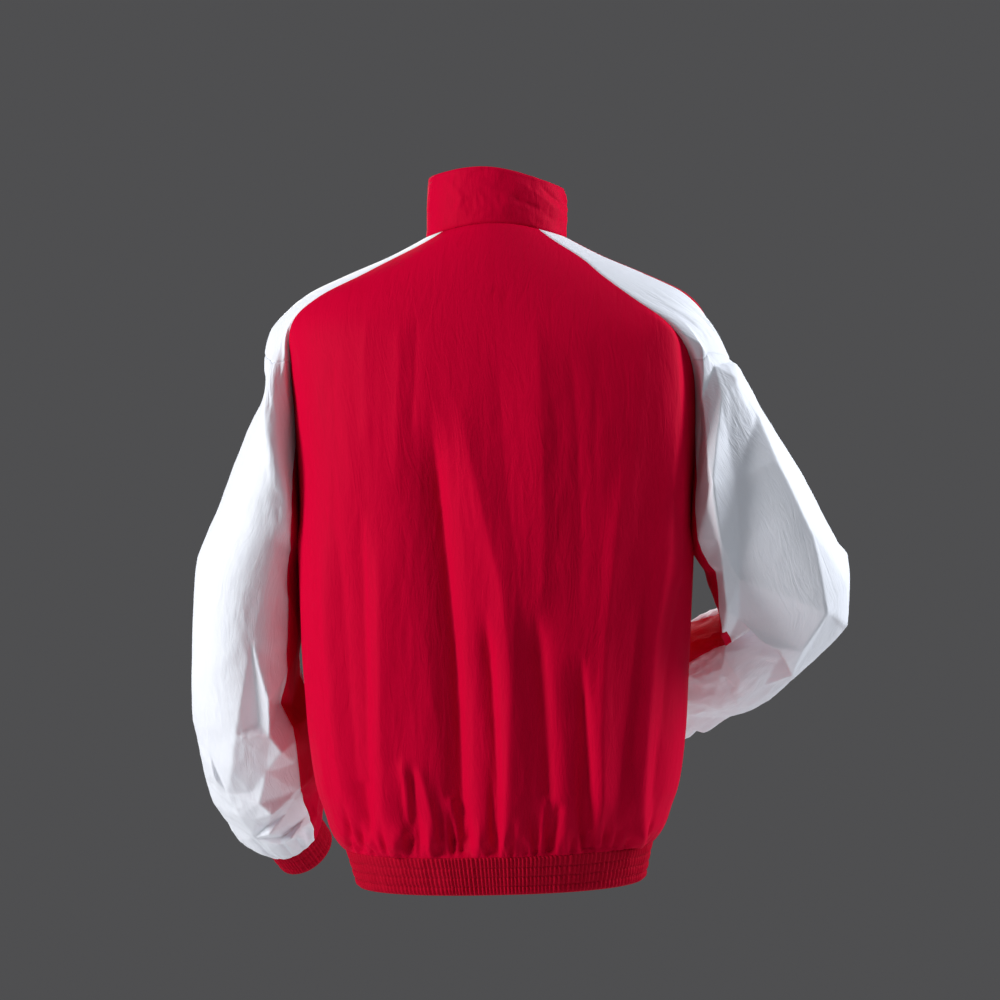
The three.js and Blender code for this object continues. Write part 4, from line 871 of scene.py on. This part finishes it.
# Cuffs: red nylon gathered tightly over an elastic, so that it stands in fine uneven ribs.
def gathered_ribs(turn, count, seed):
    """Ribs between 0 and 1: half of 1 + cos(count * turn + wander), raised to 0.7 so that they are round and
    their grooves narrow. The wander, a few slow sines, makes them uneven."""
    rng = np.random.default_rng(seed)
    wander = sum(rng.uniform(0.3, 0.9) * np.sin(k * turn + rng.uniform(0, 6)) for k in (3, 7, 11, 17, 23))
    return (0.5 + 0.5 * np.cos(count * turn + wander)) ** 0.7


# The second colour is painted shade for the hollows of the crinkles.
rib_nylon = nylon("ribbed nylon", (0.52, 0.004, 0.028), (0.40, 0.002, 0.018), 0.6, 0.6, 0.0004)
for hand, sleeve in (("left", left_sleeve), ("right", right_sleeve)):
    turn = np.linspace(0, 2 * np.pi, 321)[:-1][None, :]
    along = np.array([
        -1.5, 0.2, 1.5, 4, 7, 8.6, 9.4, 10.2, 12, 15, 18, 19.4, 20.2, 21, 23, 26, 28.4, 29.6, 30,
    ])[:, None]
    stitched = np.exp(-(((along - 9.4) / 0.9) ** 2)) + np.exp(-(((along - 20.2) / 0.9) ** 2))
    ends = smooth(30, 28, along) * smooth(-1.5, 1.0, along)
    ribs = 1.5 * gathered_ribs(turn, 54, 5 + sleeve.side) + 0.4
    height = ribs * (1 - 0.45 * stitched) * ends - 0.3 * stitched
    wrist = np.array(WRIST)
    down, back_way, out_way = sleeve.axes(wrist)
    flare = 1 - 1.2 / 34 * (along / 30)
    radial = out_way * np.cos(turn)[..., None] - back_way * np.sin(turn)[..., None]
    points = (sleeve.centre(wrist) + down * along[..., None]
              + out_way * (33.5 * flare * np.cos(turn))[..., None]
              - back_way * (35.5 * flare * np.sin(turn))[..., None] + radial * height[..., None])
    radial = np.broadcast_to(radial, points.shape)
    cuff = cloth_piece("cuff_" + hand + "_cloth", points, radial, 1.5, ring=True)
    cuff.data.materials.append(rib_nylon)
    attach(cuff, "jacket")
    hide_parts("cuff_" + hand)
    sleeves["cuff_" + hand] = cuff


# Half the gap between the front edges at the zip, how far the middle front lies from the form's axis at the
# neck and at the hem, and the heights of the collar and the waistband, in millimetres.
ZIP_HALF_GAP = 4.5
NECK_DEPTH, HEM_DEPTH = 76.0, 124.0
COLLAR_HEIGHT, BAND_HEIGHT = 58, 38


# Waistband: red nylon folded over a wide elastic and stitched through in three rows, which pinch its ribs.
def band_form(angle, down, lift):
    """The band's section: the hem's superellipse drawn in by 10 mm on its way down."""
    share = down / BAND_HEIGHT
    s, c = np.sin(angle), np.cos(angle)
    half = curve(BODY, "drop", "half_width", HEM)
    back_depth, front_depth = (curve(BODY, "drop", name, HEM) for name in ("back_depth", "front_depth"))
    depth = np.where(c > 0, back_depth, front_depth) - 8 * share
    power = curve(BODY, "drop", "square", HEM)
    radius = (np.abs(s / (half - 10 * share)) ** power + np.abs(c / depth) ** power) ** (-1 / power) + lift
    x = curve(BODY, "drop", "shift", HEM) - 2 * share + radius * s
    z = -HEM - down - curve(BODY, "drop", "tilt", HEM) * x / half
    return np.stack([x, radius * c, z], axis=-1)


band_edge = np.pi - ZIP_HALF_GAP / HEM_DEPTH
angle = np.linspace(band_edge, -band_edge, 1001)[None, :]
down = np.array([
    -1.5, 0, 1.2, 4, 7, 9, 10, 11, 13, 16, 18.6, 19.6, 20.6, 23, 26, 28.2, 29.2, 30.2, 33, 36, 37.6, BAND_HEIGHT,
])[:, None]
stitched = sum(np.exp(-(((down - row) / 0.9) ** 2)) for row in (10, 19.6, 29.2))
from_zip = band_edge - np.abs(angle)
ends = smooth(BAND_HEIGHT, 36.5, down) * smooth(-1.5, 0.5, down)
ribs = gathered_ribs(angle, 188, 77) * smooth(0.01, 0.09, from_zip)
lift = 2.3 * ribs * (0.85 + 0.25 * ripple(angle * 165, down, 9, 30, 90)) + 0.3
height = lift * (1 - 0.5 * stitched) * ends - 0.3 * stitched
points = band_form(angle, down, height)
waistband = cloth_piece("waistband_cloth", points, points * [1, 1, 0], 1.5)
waistband.data.materials.append(rib_nylon)
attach(waistband, "jacket")
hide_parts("waistband")


# Stand collar: two layers of red nylon turned at the top edge. It stands a little lower and creases on the
# wearer's right.
COLLAR = columns("up inset", [[0, 0], [0.35, 1], [0.7, 3.5], [1, 6]])
COLLAR_FOLDS = [
    (-2.2, 3, 4, 1.2, [(-96, 52), (-112, 40), (-104, 26), (-122, 8)]),
    (1.8, 4, 3, 1.2, [(-104, 56), (-126, 44), (-118, 30), (-132, 14)]),
    (-1.8, 4, 3, 1.2, [(-60, 50), (-84, 40), (-100, 34)]),
    (1.2, 5, 5, 1.3, [(-30, 46), (-60, 38), (-90, 26), (-112, 18)]),
    (-1.2, 5, 4, 1.3, [(-20, 30), (-52, 24), (-84, 14)]),
    (-1.2, 4, 4, 1.3, [(96, 50), (84, 34), (92, 16)]),
    (1.2, 5, 5, 1.3, [(60, 48), (40, 30), (44, 12)]),
    (-1.2, 5, 5, 1.3, [(140, 48), (150, 30), (142, 12)]),
    (-1.4, 4, 5, 1.3, [(-170, 50), (-160, 32), (-172, 12)]),
    (1.0, 5, 5, 1.3, [(-206, 46), (-196, 28), (-210, 10)]),
    (1.0, 5, 5, 1.3, [(196, 46), (186, 30), (200, 12)]),
]


def collar_form(angle, up):
    """The neck seam raised by the collar's height, drawn in a little towards the top."""
    radial = np.stack([np.sin(angle), np.cos(angle), np.zeros_like(angle)], axis=-1)
    forward = (1 - np.cos(angle)) / 2
    inset = curve(COLLAR, "up", "inset", up) * (1 - 1.3 * forward)
    rise = COLLAR_HEIGHT * up * (1 + 0.1 * np.sin(angle))
    rise = np.stack([np.zeros_like(angle), np.zeros_like(angle), rise], axis=-1)
    return body_form(angle, np.full(angle.shape, NECK)) - radial * inset[..., None] + rise


collar_edge = np.pi - ZIP_HALF_GAP / NECK_DEPTH
angle, up = np.meshgrid(np.linspace(collar_edge, -collar_edge, 201), shares(42, 0.02), indexing="xy")
radial = np.stack([np.sin(angle), np.cos(angle), np.zeros_like(angle)], axis=-1)
run, height_up = np.degrees(angle) * 1.25, up * COLLAR_HEIGHT
fold = laid_folds(run, height_up, COLLAR_FOLDS) + 0.7 * ripple(run, height_up, 16, 14, 51)
fold += 0.35 * crumple(run, height_up, 9, 8, 53) - 1.0 * np.exp(-(((height_up - 53) / 1.2) ** 2)) * 0.4
fold = fold * smooth(0, 0.15, up) * smooth(0, 0.12, np.pi - np.abs(angle)) + 0.7
points = collar_form(angle, up) + radial * fold[..., None]
collar = cloth_piece("collar_cloth", seam_roll(points, radial), radial, 2.2)
collar.data.materials.append(red_nylon)
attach(collar, "jacket")
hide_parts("collar")


# Zip: woven tapes behind the front edges, a moulded chain of teeth between them, a metal slider that is
# closed at the collar, and its pull tab.
def plain_metal(name, colour, roughness):
    """Satin cast metal, finely scratched, with a little dirt in its colour."""
    material = bpy.data.materials.new(name)
    material.use_nodes = True
    nodes, links = material.node_tree.nodes, material.node_tree.links
    shader = nodes["Principled BSDF"]
    place = nodes.new("ShaderNodeTexCoord")
    grain = nodes.new("ShaderNodeTexNoise")
    grain.inputs["Scale"].default_value = 900
    grain.inputs["Detail"].default_value = 4
    worn = nodes.new("ShaderNodeMapRange")
    worn.inputs["To Min"].default_value = roughness - 0.08
    worn.inputs["To Max"].default_value = roughness + 0.12
    tint = nodes.new("ShaderNodeMix")
    tint.data_type = "RGBA"
    tint.inputs[6].default_value = (*colour, 1)
    tint.inputs[7].default_value = (*(0.75 * c for c in colour), 1)
    relief = nodes.new("ShaderNodeBump")
    relief.inputs["Distance"].default_value = 0.00005
    links.new(place.outputs["Object"], grain.inputs["Vector"])
    links.new(grain.outputs["Fac"], worn.inputs["Value"])
    links.new(grain.outputs["Fac"], tint.inputs[0])
    links.new(grain.outputs["Fac"], relief.inputs["Height"])
    links.new(worn.outputs["Result"], shader.inputs["Roughness"])
    links.new(tint.outputs[2], shader.inputs["Base Color"])
    links.new(relief.outputs["Normal"], shader.inputs["Normal"])
    shader.inputs["Metallic"].default_value = 1
    return material


zip_metal = plain_metal("zip metal", (0.62, 0.62, 0.64), 0.35)
for name in ("zip_slider", "zip_pull_tab"):
    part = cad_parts[name]
    part.data.materials.clear()
    part.data.materials.append(zip_metal)


def zip_strip(sideways, up_from, set_back):
    """Places beside the zip's middle line, rows down and columns sideways in millimetres: the collar's form
    from the share up_from of its height, the body's front and the waistband, all set back from the cloth's
    face. Also the way down and the outward normal of each row."""
    blocks = []
    for form, rows, depth in (
        (collar_form, np.linspace(up_from, 0, 24)[:-1], NECK_DEPTH),
        (body_form, np.linspace(NECK, HEM, 216), None),
        (lambda angle, down: band_form(angle, down, 0.0), np.linspace(0, BAND_HEIGHT, 14)[1:], HEM_DEPTH),
    ):
        rows = rows[:, None] + np.zeros(len(sideways))
        depth = curve(BODY, "drop", "front_depth", rows) if depth is None else depth
        blocks.append(form(np.pi - sideways / (depth + 0 * rows), rows))
    places = np.concatenate(blocks)
    down = np.gradient(places, axis=0)
    down = down / np.linalg.norm(down, axis=-1, keepdims=True)
    outward = np.stack([0 * down[..., 0], down[..., 2], -down[..., 1]], axis=-1)
    outward = outward / np.linalg.norm(outward, axis=-1, keepdims=True)
    return places - set_back * outward, down, outward


# The second colour is painted shade for the hollows of the crinkles.
tape_cloth = nylon("woven tape", (0.36, 0.003, 0.02), (0.28, 0.002, 0.015), 0.75, 0.15, 0.0003)
for hand, side in (("left", 1), ("right", -1)):
    sideways = side * np.array([3.3, 3.7, 4.3, 4.9, 6.5, 9.0, 12.0, 15.0, 17.3])
    bead = 0.25 * np.exp(-(((np.abs(sideways) - 4.0) / 0.6) ** 2))
    places, _, outward = zip_strip(sideways, 1.0, 1.8)
    tape = cloth_piece("zip_tape_" + hand + "_woven", places + bead[None, :, None] * outward, outward, 0.9)
    tape.data.materials.append(tape_cloth)
    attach(tape, "jacket")
    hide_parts("zip_tape_" + hand)

# The teeth are moulded over the tapes' edges every 2.5 mm, the left and right ones in turn, and a box closes
# the chain at its foot.
TOOTH = columns("sideways half_length half_height", [
    [3.0, 0.4, 0.6], [2.8, 0.55, 0.9], [1.6, 0.6, 1.0], [0.5, 0.42, 1.0], [-0.3, 0.6, 0.95],
    [-0.8, 0.55, 0.9], [-1.0, 0.35, 0.6],
])
FOOT_BOX = columns("sideways half_length half_height", [
    [3.9, 3.4, 0.8], [3.6, 4.2, 1.3], [0.8, 4.4, 1.5], [0.0, 4.4, 1.35], [-0.8, 4.4, 1.5], [-3.6, 4.2, 1.3],
    [-3.9, 3.4, 0.8],
])


def moulded(shape):
    """A closed block of rings along its sideways length. Each ring is a rounded rectangle,
    |along / half length|^3 + |out / half height|^3 = 1, at eight places."""
    turn = np.arange(8) * np.pi / 4 + np.pi / 8
    c, s = np.cos(turn), np.sin(turn)
    radius = (np.abs(c) ** 3 + np.abs(s) ** 3) ** (-1 / 3)
    rings = np.stack([
        shape["sideways"][:, None] + 0 * c, shape["half_length"][:, None] * radius * c,
        shape["half_height"][:, None] * radius * s,
    ], axis=-1)
    count = len(rings)
    i, j = np.meshgrid(np.arange(count - 1), np.arange(8), indexing="ij")
    corners = [(i, j), (i + 1, j), (i + 1, (j + 1) % 8), (i, (j + 1) % 8)]
    sides = np.stack([(a * 8 + b).ravel() for a, b in corners], axis=-1).tolist()
    ends = [list(range(7, -1, -1)), [(count - 1) * 8 + k for k in range(8)]]
    return rings.reshape(-1, 3), sides, ends


middle, down, outward = (part[:, 0] for part in zip_strip(np.zeros(1), 0.93, 1.2))
along = np.concatenate([[0], np.cumsum(np.linalg.norm(np.diff(middle, axis=0), axis=-1))])
shape_points, shape_sides, shape_ends = moulded(TOOTH)
left_teeth = np.arange(1.2, along[-1] - 10, 2.5)
points, faces = [], []
for side, places in ((1, left_teeth), (-1, left_teeth + 1.25), (0, np.array([along[-1] - 4.6]))):
    block, sides, ends = (shape_points, shape_sides, shape_ends) if side else moulded(FOOT_BOX)
    at, way, face = (np.stack([np.interp(places, along, of[:, k]) for k in range(3)], axis=-1)
                     for of in (middle, down, outward))
    placed = (at[:, None] + (side or 1) * block[None, :, :1] * [1, 0, 0]
              + block[None, :, 1:2] * way[:, None] + block[None, :, 2:] * face[:, None])
    start = sum(len(p) for p in points)
    for k in range(len(places)):
        first = start + k * len(block)
        faces += [[first + v for v in (f if side >= 0 else f[::-1])] for f in sides + ends]
    points.append(placed.reshape(-1, 3))
chain_mesh = bpy.data.meshes.new("zip_teeth")
chain_mesh.from_pydata((np.concatenate(points) / 1000).tolist(), [], faces)
chain_mesh.polygons.foreach_set("use_smooth", np.ones(len(faces), bool))
teeth = bpy.data.objects.new("zip_teeth", chain_mesh)
bpy.context.collection.objects.link(teeth)

tooth_resin = bpy.data.materials.new("moulded resin")
tooth_resin.use_nodes = True
nodes, links = tooth_resin.node_tree.nodes, tooth_resin.node_tree.links
place = nodes.new("ShaderNodeTexCoord")
speckle = nodes.new("ShaderNodeTexNoise")
speckle.inputs["Scale"].default_value = 350
tint = nodes.new("ShaderNodeMix")
tint.data_type = "RGBA"
tint.inputs[6].default_value = (0.42, 0.003, 0.022, 1)
tint.inputs[7].default_value = (0.34, 0.002, 0.017, 1)
worn = nodes.new("ShaderNodeMapRange")
worn.inputs["To Min"].default_value = 0.3
worn.inputs["To Max"].default_value = 0.45
links.new(place.outputs["Object"], speckle.inputs["Vector"])
links.new(speckle.outputs["Fac"], tint.inputs[0])
links.new(speckle.outputs["Fac"], worn.inputs["Value"])
links.new(tint.outputs[2], nodes["Principled BSDF"].inputs["Base Color"])
links.new(worn.outputs["Result"], nodes["Principled BSDF"].inputs["Roughness"])
chain_mesh.materials.append(tooth_resin)
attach(teeth, "jacket")
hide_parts("zip_chain")
